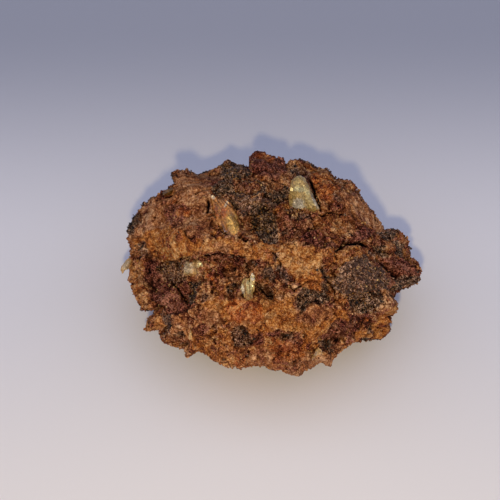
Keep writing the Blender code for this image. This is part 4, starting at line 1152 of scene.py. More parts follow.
class Skin:
    """The rock's rough surface, and the tones of each of its points."""

    def __init__(self):
        ways, quads, self.atlas = cube_layout(SKIN_CELLS)
        self.grid = Grid(quads, len(ways))
        self.base = bare_lump(ways, self.grid)
        self.normals = self.grid.normals(self.base)
        self.right, self.up, depth = seen_at(self.base)
        self.front = smooth_step(*FRONT_FACING, self.normals @ OUT) * smooth_step(*FRONT_DEPTH, depth)
        self.find_tones()
        height = self.broken_height() + self.level
        height = self.cut_cracks(height)
        self.cut_outline(height)
        self.find_hollows(height)

    def find_tones(self):
        """Works out where each tone lies, how calm the relief is and how far the skin stands proud."""
        right = self.right + ZONE_WANDER * layered(self.base, ZONE_WAVE, 3.0, 5)
        up = self.up + ZONE_WANDER * layered(self.base, ZONE_WAVE, 43.0, 5)
        self.tones = {name: np.zeros(len(right)) for name in TONES}
        self.calm = np.zeros(len(right))
        self.level = np.zeros(len(right))
        for zone in ZONES:
            share = smooth_step(-ZONE_EDGE, ZONE_EDGE, outline_depth(zone.corners, right, up)) * self.front
            for name, tone in self.tones.items():
                tone += (zone.strength * (name == zone.tone) - ZONE_COVER * tone) * share
            self.calm += (zone.calm - self.calm) * share
            self.level += (zone.level - self.level) * share
        for name, pattern in TONES.items():
            self.tones[name] += found(self.base, pattern) * (1.0 - self.front)
        self.pit = found(self.base, PITS) * (1.0 - self.calm)
        self.tones["black"] = np.maximum(self.tones["black"], PIT_BLACKNESS * self.pit)

    def left_by_calm(self, kind):
        """The share of a kind of relief that is left where the skin is calm."""
        return 1.0 - CALMED[kind] * self.calm

    def jointed(self, points, bits, joint):
        """The relief of bits with joints opened between them, and each bit's mark."""
        rise, gap, mark = broken(points, bits)
        return rise - joint.depth * found(self.base, joint.where) * groove(gap, joint.width), mark

    def broken_height(self):
        """The relief of a skin raised into chips, crumbs and grains, creased, pitted and stepped."""
        base = self.base
        druse = np.clip(self.tones["black"] + 0.7 * self.tones["grey"], 0.0, 1.0)
        wandering = warp(base, *BIT_WANDER)
        warped = base + CHIP_WANDER * wandering
        chip, self.chip_mark = self.jointed(warped, CHIPS, CHIP_JOINT)
        crumb, self.crumb_mark = self.jointed(warped, CRUMBS, CRUMB_JOINT)
        grain, _, self.grain_mark = broken(base + GRAIN_WANDER * wandering, GRAINS)

        height = sum(rise * noise(base, wavelength, start) for wavelength, start, rise in SWELLS)
        height *= self.left_by_calm("swells")
        height += CHIP_RISE * chip * self.left_by_calm("chips")
        height += CRUMB_RISE * crumb * self.left_by_calm("crumbs")
        height += grain * (GRAIN_RISE - CALMED["grains"] * self.calm + DRUSE_RISE * druse)
        creases = groove(layered(base + CREASE_WANDER * wandering, *CREASES), CREASE_WIDTH)
        height -= CREASE_DEPTH * creases * found(base, CREASED) * self.left_by_calm("creases")
        height += self.fibres() * (1.0 - druse)
        self.hole = found(warped, HOLES) * self.left_by_calm("holes")
        height -= PIT_DEPTH * self.pit + HOLE_DEPTH * self.hole
        plates = layered(warped, *PLATES)
        for level in PLATE_LEVELS:
            stepped = smooth_step(level, level + PLATE_EDGE, plates)
            height += PLATE_STEP * self.left_by_calm("plates") * stepped
        return height

    def cut_cracks(self, height):
        """The relief with the named cracks, and with niches for the crystals, cut into it; the cracks are
        also marked for painted shade.
        """
        self.crack = np.zeros(len(height))
        wander = CRACK_WANDER * layered(self.base, CRACK_WAVE, 61.0, 2)
        for crack in CRACKS:
            off = line_distance(crack.corners, self.right + wander, self.up - wander)
            opened = groove(off, CRACK_WIDENING * crack.half_width) * self.front
            height -= CRACK_DEEPENING * crack.depth * opened
            # Where the cracks are painted near black as shade.
            self.crack = np.maximum(self.crack, opened * min(1.0, crack.depth + 0.1))
        height -= height.mean()
        for crystal in CRYSTALS:
            if crystal.outline:
                inside = outline_depth(crystal.outline, self.right, self.up)
                height -= NICHE_DEPTH * smooth_step(0.0, NICHE_EDGE, inside) * self.front
        return height

    def cut_outline(self, height):
        """Raises the skin by its relief, fits it to the lump's outline and stands it on the floor."""
        self.points = self.base + self.normals * height[:, None]
        everywhere = np.ones(len(height), bool)
        for _ in range(2):
            self.points = fit_outline(self.points, RIM, everywhere, RIM_ANGLES, RIM_FIT)
        self.points[:, 2] = np.maximum(self.points[:, 2], 0.0)
        self.final_normals, self.areas = self.grid.normals_and_areas(self.points)

    def find_hollows(self, height):
        """Works out the painted shade in hollows, crevices and holes, the painted highlight on crests, and
        the soft lumps of tone.
        """
        self.lump = 0.5 + 0.5 * layered(self.base, 3.0, 33.0, 2)
        broad = self.grid.smoothed(height, scaled_passes(HOLLOW_PASSES))
        near = self.grid.smoothed(height, CREVICE_PASSES)
        crevice_shade = smooth_step(*CREVICE_DEPTHS, near - height) * (CREVICE_SHADE - CALMED_CREVICE * self.calm)
        self.hollow_shade = np.maximum(smooth_step(*HOLLOW_DEPTHS, broad - height), crevice_shade)
        self.hollow_shade = np.maximum(self.hollow_shade, HOLE_SHADE * self.hole)
        self.crest_highlight = smooth_step(*CREST_HEIGHTS, height - broad)

    def fibres(self):
        """The relief of streaks that fan out over the tan shoulder and, faintly, over the upper left."""
        rise = np.zeros(len(self.base))
        for fan in FIBRE_FANS:
            off_right = self.right - fan.right
            off_up = self.up - fan.up
            turn = np.arctan2(off_up, off_right)
            reach = np.hypot(off_right, off_up)
            depth = self.base[:, 1]
            along = np.column_stack((turn * fan.waves, reach / FIBRE_LENGTH, depth / FIBRE_DEPTH))
            lines = noise(along, 1.0, 91.0)
            cover = patch_strength([fan.cover], self.right, self.up) * self.front
            rise += fan.rise * lines * cover
        return rise


# Shader parts

def new_group(name, inputs, outputs):
    """An empty node group with named sockets."""
    group = bpy.data.node_groups.new(name, "ShaderNodeTree")
    for socket_name, kind, value in inputs:
        socket = group.interface.new_socket(socket_name, in_out="INPUT", socket_type=f"NodeSocket{kind}")
        if value is not None:
            socket.default_value = value
    for socket_name, kind in outputs:
        group.interface.new_socket(socket_name, in_out="OUTPUT", socket_type=f"NodeSocket{kind}")
    return group


class Wiring:
    """Adds nodes to a tree and links them."""

    def __init__(self, tree):
        self.tree = tree

    def node(self, kind, **settings):
        """A node with its settings."""
        made = self.tree.nodes.new(f"ShaderNode{kind}")
        for key, value in settings.items():
            setattr(made, key, value)
        return made

    def feed(self, socket, value):
        """Links a socket to another, or gives it a constant."""
        if isinstance(value, bpy.types.NodeSocket):
            self.tree.links.new(value, socket)
        elif isinstance(value, tuple) and len(value) == 3 and socket.type == "RGBA":
            socket.default_value = (*value, 1.0)
        else:
            socket.default_value = value

    def math(self, operation, *values):
        """The result of a sum on numbers."""
        made = self.node("Math", operation=operation)
        for socket, value in zip(made.inputs, values):
            self.feed(socket, value)
        return made.outputs[0]

    def scaled(self, vector, factor):
        """A vector times a number."""
        made = self.node("VectorMath", operation="SCALE")
        self.feed(made.inputs["Vector"], vector)
        self.feed(made.inputs["Scale"], factor)
        return made.outputs[0]

    def vector(self, operation, *values):
        """The result of a sum on vectors."""
        made = self.node("VectorMath", operation=operation)
        for socket, value in zip(made.inputs, values):
            self.feed(socket, value)
        return made.outputs[0]

    def noise(self, place, scale, detail=2.0, roughness=0.5):
        """Noise over a place given in millimetres, at so many waves a millimetre."""
        made = self.node("TexNoise")
        self.feed(made.inputs["Vector"], place)
        self.feed(made.inputs["Scale"], scale)
        self.feed(made.inputs["Detail"], detail)
        self.feed(made.inputs["Roughness"], roughness)
        return made.outputs["Fac"]

    def cells(self, place, scale, feature="F1", output="Distance"):
        """Distances or colours of scattered cells."""
        made = self.node("TexVoronoi", feature=feature)
        self.feed(made.inputs["Vector"], place)
        self.feed(made.inputs["Scale"], scale)
        return made.outputs[output]

    def ramp(self, value, low, high, low_to=0.0, high_to=1.0):
        """A smooth rise from one level to another."""
        made = self.node("MapRange", interpolation_type="SMOOTHSTEP")
        for socket, setting in zip(made.inputs, (value, low, high, low_to, high_to)):
            self.feed(socket, setting)
        return made.outputs[0]

    def product(self, value, *factors):
        """A value times each of the factors."""
        for factor in factors:
            value = self.math("MULTIPLY", value, factor)
        return value

    def weighted(self, *pairs):
        """The sum of values, each times its weight."""
        parts = [self.math("MULTIPLY", value, weight) for value, weight in pairs]
        total = parts[0]
        for part in parts[1:]:
            total = self.math("ADD", total, part)
        return total

    def blend(self, share, one, other):
        """A mix of two colours."""
        made = self.node("Mix", data_type="RGBA", blend_type="MIX", clamp_factor=True)
        factor, first, second = (made.inputs[k] for k in (0, 6, 7))
        self.feed(factor, share)
        self.feed(first, one)
        self.feed(second, other)
        return made.outputs[2]

    def shaded(self, colour, *shades):
        """A colour times a shade, or times one shade for each of red, green and blue."""
        parts = self.node("CombineXYZ")
        for k, socket in enumerate(parts.inputs):
            self.feed(socket, shades[k % len(shades)])
        return self.vector("MULTIPLY", colour, parts.outputs[0])

    def bump(self, height, strength, distance):
        """A normal from a height, raised by so many millimetres."""
        made = self.node("Bump")
        made.inputs["Strength"].default_value = strength
        made.inputs["Distance"].default_value = distance * MM
        self.feed(made.inputs["Height"], height)
        return made.outputs["Normal"]

    def blend_values(self, share, one, other):
        """One value passing into another by a share."""
        part = self.math("MULTIPLY", self.math("SUBTRACT", other, one), share)
        return self.math("ADD", one, part)

    def grouped(self, group, **values):
        """A placed group, with values for its sockets; an underline in a key stands for a space."""
        made = self.tree.nodes.new("ShaderNodeGroup")
        made.node_tree = group
        for key, value in values.items():
            self.feed(made.inputs[key.replace("_", " ")], value)
        return made

    def palette(self, value, *stops):
        """A colour picked by a value from colours spread evenly over 0 to 1."""
        made = self.node("ValToRGB")
        ramp = made.color_ramp
        ramp.elements[0].color = (*stops[0], 1.0)
        ramp.elements[1].color = (*stops[-1], 1.0)
        for k, stop in enumerate(stops[1:-1], start=1):
            ramp.elements.new(k / (len(stops) - 1)).color = (*stop, 1.0)
        self.feed(made.inputs[0], value)
        return made.outputs[0]

    def attribute(self, name):
        """Three values of a colour attribute."""
        made = self.node("Attribute", attribute_type="GEOMETRY", attribute_name=name)
        parts = self.node("SeparateColor")
        self.feed(parts.inputs[0], made.outputs["Color"])
        return parts.outputs[0], parts.outputs[1], parts.outputs[2]

    def place(self):
        """The place on the piece, in millimetres."""
        return self.scaled(self.node("TexCoord").outputs["Object"], 1.0 / MM)


def group_wiring(group):
    """The wiring of a group, its input sockets and its output node."""
    wiring = Wiring(group)
    entry = group.nodes.new("NodeGroupInput")
    leave = group.nodes.new("NodeGroupOutput")
    return wiring, entry.outputs, leave.inputs


def build_fine_grain():
    """Earthy grain: a height, and masks of its speckle, clouds, pores and pale grains."""
    group = new_group(
        "Fine grain",
        [("Place", "Vector", None), ("Grains per mm", "Float", 3.0), ("Roughening", "Float", 1.0)],
        [(name, "Float") for name in ("Height", "Speckle", "Wrinkles", "Stain", "Cloud", "Holes", "Pale")],
    )
    wiring, given, gives = group_wiring(group)

    def scaled(factor):
        return wiring.math("MULTIPLY", given["Grains per mm"], factor)

    drift = wiring.node("TexNoise")
    wiring.feed(drift.inputs["Vector"], given["Place"])
    wiring.feed(drift.inputs["Scale"], scaled(0.3))
    drift.inputs["Detail"].default_value = 4.0
    place = wiring.vector("ADD", given["Place"], wiring.scaled(drift.outputs["Color"], 0.8))
    fine = wiring.noise(place, scaled(1.2), 4.0, 0.65)
    knobs = wiring.cells(place, scaled(0.8))
    where = wiring.noise(place, scaled(0.13), 3.0)
    pores = wiring.noise(place, scaled(0.36), 5.0, 0.65)
    pores = wiring.math("ADD", pores, wiring.math("MULTIPLY", where, 0.5))
    holes = wiring.ramp(pores, 0.83, 0.87)

    # Splits: their scale, the distances at which they close and open, where they are found and their depth.
    for scale, closed, opened, low, high, depth in (
        (0.17, 0.075, 0.02, 0.44, 0.60, 0.85),
        (0.37, 0.12, 0.03, 0.56, 0.42, 0.5),
    ):
        split = wiring.ramp(wiring.cells(place, scaled(scale), feature="DISTANCE_TO_EDGE"), closed, opened)
        split = wiring.product(split, wiring.ramp(where, low, high), depth)
        holes = wiring.math("MAXIMUM", holes, split)

    # Wrinkles: their scale, layers, roughness and width.
    wrinkles = []
    for scale, detail, roughness, width in ((0.24, 4.0, 0.55, 0.035), (0.60, 3.0, 0.6, 0.06)):
        folds = wiring.noise(place, scaled(scale), detail, roughness)
        from_fold = wiring.math("ABSOLUTE", wiring.math("SUBTRACT", folds, 0.5))
        wrinkles.append(wiring.ramp(from_fold, 0.0, width))
    wrinkles = wiring.math("MULTIPLY", wrinkles[0], wiring.ramp(wrinkles[1], 0.0, 1.0, 0.5, 1.0))
    raised = wiring.math("ADD", fine, wiring.weighted((knobs, -0.45), (holes, -0.8), (wrinkles, 0.35)))
    wiring.feed(gives["Height"], wiring.math("MULTIPLY", raised, given["Roughening"]))
    # Wrinkles are 0 along the folds, where the rock's colour gets painted shade.
    wiring.feed(gives["Wrinkles"], wrinkles)
    wiring.feed(gives["Speckle"], wiring.ramp(wiring.noise(place, scaled(1.3), 3.0, 0.7), 0.36, 0.64))
    wiring.feed(gives["Stain"], wiring.noise(place, scaled(0.32), 5.0, 0.62))
    wiring.feed(gives["Cloud"], wiring.noise(place, scaled(0.12), 6.0, 0.6))
    # Holes: pores and splits, where the rock's colour gets painted shade.
    wiring.feed(gives["Holes"], holes)
    seed = wiring.cells(place, scaled(1.1), output="Color")
    wiring.feed(gives["Pale"], wiring.ramp(seed, 0.86, 0.94))
    return group


# Where the rock's colour is darkened, by painted shade and by its grain, its blue falls off fastest and its
# red slowest, a painted warm glow of light bounced inside the rock, and where it is made paler it turns paler
# in blue than in red: powers for red, green and blue.
SHADE_POWERS = (1.0, 1.22, 1.36)


def build_rock_tones():
    """The rock's colour and gloss, from its tones, the painted shade of its hollows, crevices, holes and
    cracks, the painted highlight of its crests, and its grain.
    """
    group = new_group(
        "Rock tones",
        [
            ("Grain", "Float", 0.5),
            ("Wrinkles", "Float", 1.0),
            ("Stain", "Float", 0.5),
            ("Cloud", "Float", 0.5),
            ("Holes", "Float", 0.0),
            ("Pale grains", "Float", 0.0),
        ],
        [("Color", "Color"), ("Roughness", "Float")],
    )
    wiring, given, gives = group_wiring(group)
    black, maroon, ochre = wiring.attribute("tones")
    grey, tan, orange = wiring.attribute("more_tones")
    chip, crumb, crest_highlight = wiring.attribute("marks")
    grain, lump, hollow_shade = wiring.attribute("fine_marks")
    # crack is where the cracks are painted near black as shade.
    calm, crack = wiring.attribute("relief")[:2]
    pick = wiring.weighted(
        (crumb, 0.26), (grain, 0.16), (given["Grain"], 0.26), (chip, 0.20), (given["Wrinkles"], 0.12)
    )
    sharp = wiring.ramp(wiring.weighted((given["Grain"], 0.5), (pick, 0.5)), 0.22, 0.78)
    pick = wiring.ramp(pick, 0.14, 0.86)
    brown = wiring.palette(
        pick,
        linear(50, 17, 7), linear(108, 49, 22), linear(150, 82, 42), linear(172, 109, 66),
        linear(194, 146, 106),
    )
    warm = wiring.palette(
        pick,
        linear(88, 34, 10), linear(156, 83, 31), linear(186, 109, 45), linear(202, 133, 66),
        linear(216, 162, 104),
    )
    red = wiring.palette(
        sharp, linear(28, 8, 6), linear(84, 31, 25), linear(124, 56, 44), linear(168, 102, 86)
    )
    pink = wiring.palette(
        pick, linear(86, 36, 16), linear(158, 95, 57), linear(186, 124, 80), linear(212, 160, 118)
    )
    # The dark palette's palest stop is in part painted glints on the black druse.
    dark = wiring.palette(
        sharp, linear(8, 3, 2), linear(38, 19, 12), linear(96, 64, 47), linear(182, 146, 122)
    )
    dull = wiring.palette(
        sharp, linear(40, 13, 9), linear(102, 57, 43), linear(146, 103, 82), linear(196, 155, 134)
    )
    rust = wiring.palette(
        pick, linear(80, 26, 9), linear(160, 68, 24), linear(200, 102, 40), linear(220, 148, 78)
    )

    # What each colour follows, the levels between which it sets in, how strongly it shows, and the colour.
    colour = brown
    for value, low, high, strength, tone in (
        (given["Cloud"], 0.50, 0.55, 0.6, warm),
        (given["Cloud"], 0.44, 0.39, 0.75, red),
        (chip, 0.74, 0.80, 0.5, pink),
        (chip, 0.26, 0.20, 0.5, red),
        (crumb, 0.84, 0.88, 0.5, pink),
        (lump, 0.52, 0.72, 0.6, pink),
        (tan, 0.0, 1.0, 0.8, pink),
        (ochre, 0.0, 1.0, 0.85, warm),
        (orange, 0.0, 1.0, 0.8, rust),
        (given["Stain"], 0.45, 0.41, 0.5, pink),
        (given["Stain"], 0.54, 0.59, wiring.ramp(calm, 0.0, 1.0, 0.75, 0.4), red),
        (crumb, 0.16, 0.12, 0.5, red),
        (maroon, 0.0, 1.0, 0.8, red),
        (grey, 0.0, 1.0, 0.8, dull),
        (black, 0.0, 1.0, 0.8, dark),
    ):
        share = wiring.math("MULTIPLY", wiring.ramp(value, low, high), strength)
        colour = wiring.blend(share, colour, tone)
    glossy = wiring.math("MAXIMUM", black, grey)
    even = wiring.ramp(given["Grain"], 0.0, 0.6, 0.72, 1.06)
    # Random speckle, painted shade along the wrinkles' folds and in the fine holes and splits, and paler
    # grains.
    shade = wiring.product(
        wiring.blend_values(glossy, even, wiring.ramp(given["Grain"], 0.1, 0.6, 0.34, 1.14)),
        wiring.ramp(given["Wrinkles"], 0.0, 1.0, 0.48, 1.07),
        wiring.ramp(given["Holes"], 0.0, 1.0, 1.0, 0.22),
        wiring.ramp(given["Pale grains"], 0.0, 1.0, 1.0, 1.25),
    )
    # Painted shade in hollows, crevices and holes, painted highlight on crests, and cracks painted near black
    # as shade.
    shade = wiring.product(
        wiring.blend_values(wiring.math("MULTIPLY", calm, 0.35), shade, 1.0),
        wiring.ramp(hollow_shade, 0.0, 1.0, 1.0, 0.14),
        wiring.ramp(crest_highlight, 0.0, 1.0, 1.0, 1.14),
        wiring.ramp(black, 1.0, 1.5, 1.12, 0.40),
        wiring.ramp(crack, 0.15, 0.85, 1.0, 0.03),
    )
    shades = [wiring.math("POWER", shade, power) for power in SHADE_POWERS]
    wiring.feed(gives["Color"], wiring.shaded(colour, *shades))
    roughness = wiring.ramp(glossy, 0.0, 1.0, 0.80, 0.62)
    roughness = wiring.math("ADD", roughness, wiring.math("MULTIPLY", given["Grain"], -0.12))
    wiring.feed(gives["Roughness"], roughness)
    return group


def build_glassy_tones():
    """A crystal's colour, gloss and fine relief, from its tints, the painted shade and highlight along its
    striations and the painted shade in its dips.
    """
    group = new_group(
        "Glassy tones",
        [
            ("Place", "Vector", None),
            ("Body", "Color", None),
            ("Pale", "Color", None),
            ("Warm", "Color", None),
            ("Bright", "Color", None),
        ],
        [("Color", "Color"), ("Roughness", "Float"), ("Height", "Float")],
    )
    wiring, given, gives = group_wiring(group)
    pale, warm, bright_and_highlight = wiring.attribute("tints")
    striation_shade_and_rise, flake, dip_shade = wiring.attribute("streaks")
    veil = wiring.noise(given["Place"], 1.1, 4.0, 0.65)
    fine = wiring.noise(given["Place"], 3.4, 4.0, 0.7)
    colour = given["Body"]
    for value, strength, tint in (
        (wiring.ramp(veil, 0.40, 0.70), 0.45, "Warm"),
        (warm, 0.8, "Warm"),
        (bright_and_highlight, 0.8, "Bright"),
        (pale, 0.85, "Pale"),
        # The grooves of the striations take the warm tint as painted shade.
        (wiring.ramp(striation_shade_and_rise, 0.5, 0.15), 0.6, "Warm"),
    ):
        colour = wiring.blend(wiring.math("MULTIPLY", value, strength), colour, given[tint])
    # Painted highlight on the striations' ridges and painted shade in their grooves and in the dips, with
    # random grain, veil and flakes.
    lit = wiring.product(
        wiring.ramp(striation_shade_and_rise, 0.1, 0.9, 0.55, 1.25),
        wiring.ramp(fine, 0.34, 0.66, 0.50, 1.40),
        wiring.ramp(veil, 0.35, 0.65, 0.82, 1.16),
        wiring.ramp(flake, 0.0, 1.0, 0.86, 1.12),
        wiring.ramp(dip_shade, 0.0, 1.0, 1.0, 0.55),
    )
    wiring.feed(gives["Color"], wiring.shaded(colour, lit))
    wiring.feed(gives["Roughness"], wiring.ramp(veil, 0.3, 0.7, 0.10, 0.30))
    wiring.feed(gives["Height"], wiring.math("ADD", fine, wiring.math("MULTIPLY", striation_shade_and_rise, 0.6)))
    return group


FINE_GRAIN = build_fine_grain()
ROCK_TONES = build_rock_tones()
GLASSY_TONES = build_glassy_tones()


def new_material(name):
    """A material with its wiring and its Principled shader."""
    material = bpy.data.materials.new(name)
    material.use_nodes = True
    wiring = Wiring(material.node_tree)
    return material, wiring, material.node_tree.nodes["Principled BSDF"]


def rock_material(name, grains_per_mm, bump_distance):
    """Earthy limonite, from the tones that the piece carries."""
    material, wiring, shader = new_material(name)
    grain = wiring.grouped(FINE_GRAIN, Place=wiring.place(), Grains_per_mm=grains_per_mm, Roughening=1.0)
    tones = wiring.grouped(
        ROCK_TONES,
        Grain=grain.outputs["Speckle"],
        Wrinkles=grain.outputs["Wrinkles"],
        Stain=grain.outputs["Stain"],
        Cloud=grain.outputs["Cloud"],
        Holes=grain.outputs["Holes"],
        Pale_grains=grain.outputs["Pale"],
    )
    wiring.feed(shader.inputs["Base Color"], tones.outputs["Color"])
    wiring.feed(shader.inputs["Roughness"], tones.outputs["Roughness"])
    wiring.feed(shader.inputs["Normal"], wiring.bump(grain.outputs["Height"], 0.9, bump_distance))
    shader.inputs["Specular IOR Level"].default_value = 0.07
    return material


def paper_material():
    """The pale sheet under the specimen, with painted light falloff: darker and cooler towards the back,
    lighter and warmer at the front.
    """
    material, wiring, shader = new_material("pale_sheet")
    place = wiring.place()
    parts = wiring.node("SeparateXYZ")
    wiring.feed(parts.inputs[0], place)
    # Painted light falloff: darker and cooler towards the back, lighter and warmer towards the front.
    back = wiring.ramp(parts.outputs["Y"], 12.0, 76.0)
    front = wiring.ramp(parts.outputs["Y"], 10.0, -40.0)
    shade = wiring.blend(back, linear(229, 223, 229), linear(168, 167, 180))
    shade = wiring.blend(front, shade, linear(237, 228, 229))
    wiring.feed(shader.inputs["Base Color"], shade)
    grain = wiring.grouped(FINE_GRAIN, Place=place, Grains_per_mm=2.0, Roughening=0.3)
    wiring.feed(shader.inputs["Normal"], wiring.bump(grain.outputs["Height"], 0.15, 0.05))
    shader.inputs["Roughness"].default_value = 0.85
    shader.inputs["Specular IOR Level"].default_value = 0.2
    return material


# Pieces

def make_rock(skin):
    """The limonite lump, in three pieces of two opposite sides each that meet edge to edge."""
    material = rock_material("limonite_earth", 3.4, 0.16)
    names = ("limonite_skin_ends", "limonite_skin_flanks", "limonite_skin_face")
    per_piece = len(skin.grid.faces) // len(names)
    for k, name in enumerate(names):
        part = slice(k * per_piece, (k + 1) * per_piece)
        used, quads = np.unique(skin.grid.faces[part], return_inverse=True)
        rock = mesh_piece(name, skin.points[used], quads.reshape(-1, 4), material)
        rock.data.normals_split_custom_set_from_vertices(skin.final_normals[used].tolist())
        add_atlas(rock, skin.atlas[part])
        add_tones(rock, "tones", *[skin.tones[tone][used] for tone in FIRST_TONES])
        add_tones(rock, "more_tones", *[skin.tones[tone][used] for tone in MORE_TONES])
        # crest and hollow carry the painted highlight on crests and the painted shade in hollows, crevices
        # and holes; relief carries how calm the skin is and the cracks' painted shade.
        add_tones(rock, "marks", skin.chip_mark[used], skin.crumb_mark[used], skin.crest_highlight[used])
        add_tones(rock, "fine_marks", skin.grain_mark[used], skin.lump[used], skin.hollow_shade[used])
        add_tones(rock, "relief", skin.calm[used], skin.crack[used])
        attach(rock, "root")
        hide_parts("limonite_matrix")


def remeshed(node, cell, swollen):
    """A fine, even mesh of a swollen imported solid: its points in millimetres, and its triangles."""
    points, corners = node_surface(node)
    points, joined = np.unique(points.round(5), axis=0, return_inverse=True)
    corners = joined.reshape(-1)[corners]
    points = points + Grid(corners, len(points)).normals(points) * swollen
    mesh = bpy.data.meshes.new("fine")
    mesh.from_pydata(points.tolist(), [], corners.tolist())
    if node in FILLED_CRYSTALS:
        shell = bmesh.new()
        shell.from_mesh(mesh)
        inner = bmesh.ops.convex_hull(shell, input=shell.verts)["geom_interior"]
        bmesh.ops.delete(shell, geom=inner, context="VERTS")
        shell.to_mesh(mesh)
        shell.free()
    fine = in_scene("fine", mesh)
    remesh = fine.modifiers.new("remesh", "REMESH")
    remesh.mode = "VOXEL"
    remesh.voxel_size = cell
    shaped = fine.evaluated_get(bpy.context.evaluated_depsgraph_get())
    surface = mesh_surface(shaped.to_mesh())
    shaped.to_mesh_clear()
    bpy.data.objects.remove(fine)
    bpy.data.meshes.remove(mesh)
    return surface


def left_bare(points, cover):
    """Which of the points the rock leaves bare to the eye."""
    ways = EYE - points
    ways /= np.linalg.norm(ways, axis=1)[:, None]
    starts = points + ways * 0.1
    rays = zip(starts.tolist(), ways.tolist())
    return np.array([cover.ray_cast(start, way)[0] is None for start, way in rays])


def way_from(azimuth, elevation):
    """The way out from the lump at an azimuth from the front, positive to the right, and an elevation."""
    turn = math.radians(azimuth)
    rise = math.radians(elevation)
    return np.array((math.sin(turn) * math.cos(rise), -math.cos(turn) * math.cos(rise), math.sin(rise)))


def press_flashes(points, normals):
    """Turns small stretches of a surface so that they throw the small lamp's light to the eye."""
    half_way = OUT + way_from(KEY.azimuth, KEY.elevation)
    half_way /= np.linalg.norm(half_way)
    right, up = seen_at(points)[:2]
    level = points @ half_way
    facing = normals @ OUT
    for flash in FLASHES:
        chosen = (np.hypot(right - flash.right, up - flash.up) < flash.reach) & (facing > 0.1)
        if chosen.any():
            points[chosen] += half_way * (np.median(level[chosen]) - level[chosen])[:, None]


def make_crystal(crystal, material, cover):
    """One crystal, cut finer on its solid: rounded, striated and flaked."""
    points, faces = remeshed(crystal.node, crystal.cell, crystal.swollen)
    grid = Grid(faces, len(points))
    points = grid.smoothed(points, crystal.rounding, ROUNDING_SHARE) + OUT * crystal.raised
    if crystal.outline:
        for _ in range(2):
            bare = left_bare(points, cover)
            points = fit_outline(points, crystal.outline, bare, OUTLINE_ANGLES, OUTLINE_FIT)
        points = grid.smoothed(points, FITTED_PASSES, ROUNDING_SHARE)
    normals = grid.normals(points)
    right, up, depth = seen_at(points)
    off_right = right - crystal.apex[0]
    off_up = crystal.apex[1] - up
    turn = np.arctan2(off_right, off_up)
    reach = np.hypot(off_right, off_up)
    along = np.column_stack((turn * crystal.waves, reach / STRIATION_LENGTH, depth / STRIATION_DEPTH))
    lines = noise(along, 1.0, 3.1) + FINER_RIDGE * noise(along * FINER_STRIATION, 1.0, 8.7)
    warped = points + FLAKE_WANDER * warp(points, *FLAKE_WAVES)
    flake, _, flake_mark = broken(warped * FLAKE_STRETCH, FLAKES)
    height = crystal.ridge * lines + crystal.flakes * flake + SWELL_RISE * noise(points, SWELL_WAVE, 6.6)
    points = points + normals * height[:, None]
    press_flashes(points, normals)
    points[:, 2] = np.maximum(points[:, 2], 0.0)
    piece = mesh_piece(crystal.piece, points, faces, material)
    right, up = seen_at(points)[:2]
    ragged = TINT_RAGGEDNESS * noise(points, TINT_WAVE, 2.2)
    masks = [
        smooth_step(*TINT_LEVELS, patch_strength(patches, right, up) + ragged)
        for patches in (PALE_CRYSTAL, WARM_CRYSTAL, BRIGHT_AND_HIGHLIT_CRYSTAL)
    ]
    add_tones(piece, "tints", *masks)
    # Painted shade in the dips of the crystal's surface.
    dip_shade = smooth_step(*DIP_DEPTHS, grid.smoothed(height, DIP_PASSES) - height)
    # Painted shade and highlight along the striations, as strong as their ridges are high.
    striation_shade_and_rise = 0.5 + 0.5 * np.clip(lines, -1.0, 1.0) * min(1.0, crystal.ridge / STRONG_RIDGE)
    add_tones(piece, "streaks", striation_shade_and_rise, flake_mark, dip_shade)
    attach(piece, "root")
    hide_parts(crystal.node)


def crystal_material(name, body, pale, warm, bright_and_highlight, absorbed):
    """Cloudy, glassy adamite with streaks along its length."""
    material, wiring, shader = new_material(name)
    place = wiring.place()
    tones = wiring.grouped(GLASSY_TONES, Place=place, Body=body, Pale=pale, Warm=warm, Bright=bright_and_highlight)
    wiring.feed(shader.inputs["Base Color"], tones.outputs["Color"])
    wiring.feed(shader.inputs["Roughness"], tones.outputs["Roughness"])
    wiring.feed(shader.inputs["Normal"], wiring.bump(tones.outputs["Height"], 0.55, 0.05))
    shader.inputs["Transmission Weight"].default_value = 0.38
    shader.inputs["IOR"].default_value = 1.72
    shader.inputs["Specular Tint"].default_value = (1.0, 0.90, 0.70, 1.0)
    absorption = wiring.node("VolumeAbsorption")
    absorption.inputs["Color"].default_value = (*absorbed, 1.0)
    absorption.inputs["Density"].default_value = 160.0
    output = material.node_tree.nodes["Material Output"]
    wiring.feed(output.inputs["Volume"], absorption.outputs[0])
    return material


def make_crystals(skin):
    """All the adamite crystals."""
    cover = BVHTree.FromPolygons(skin.points.tolist(), skin.grid.faces.tolist())
    olive = crystal_material(
        "olive_adamite",
        linear(224, 188, 116), linear(255, 238, 212), linear(204, 138, 66), linear(255, 238, 176),
        (0.80, 0.76, 0.45),
    )
    ochre = crystal_material(
        "ochre_adamite",
        linear(234, 154, 72), linear(255, 226, 192), linear(190, 92, 32), linear(255, 200, 104),
        (0.85, 0.70, 0.38),
    )
    tan = crystal_material(
        "tan_adamite",
        linear(250, 196, 120), linear(250, 220, 182), linear(240, 160, 94), linear(255, 234, 172),
        (0.86, 0.78, 0.58),
    )
    stained = crystal_material(
        "stained_adamite",
        linear(132, 96, 40), linear(176, 142, 84), linear(120, 76, 30), linear(190, 150, 76),
        (0.72, 0.62, 0.34),
    )
    materials = {OLIVE_SLOT: olive, OCHRE_SLOT: ochre, TAN_SLOT: tan}
    for crystal in CRYSTALS:
        plain = crystal.node != "adamite_rim_crystal"
        make_crystal(crystal, materials[crystal.slot] if plain else stained, cover)


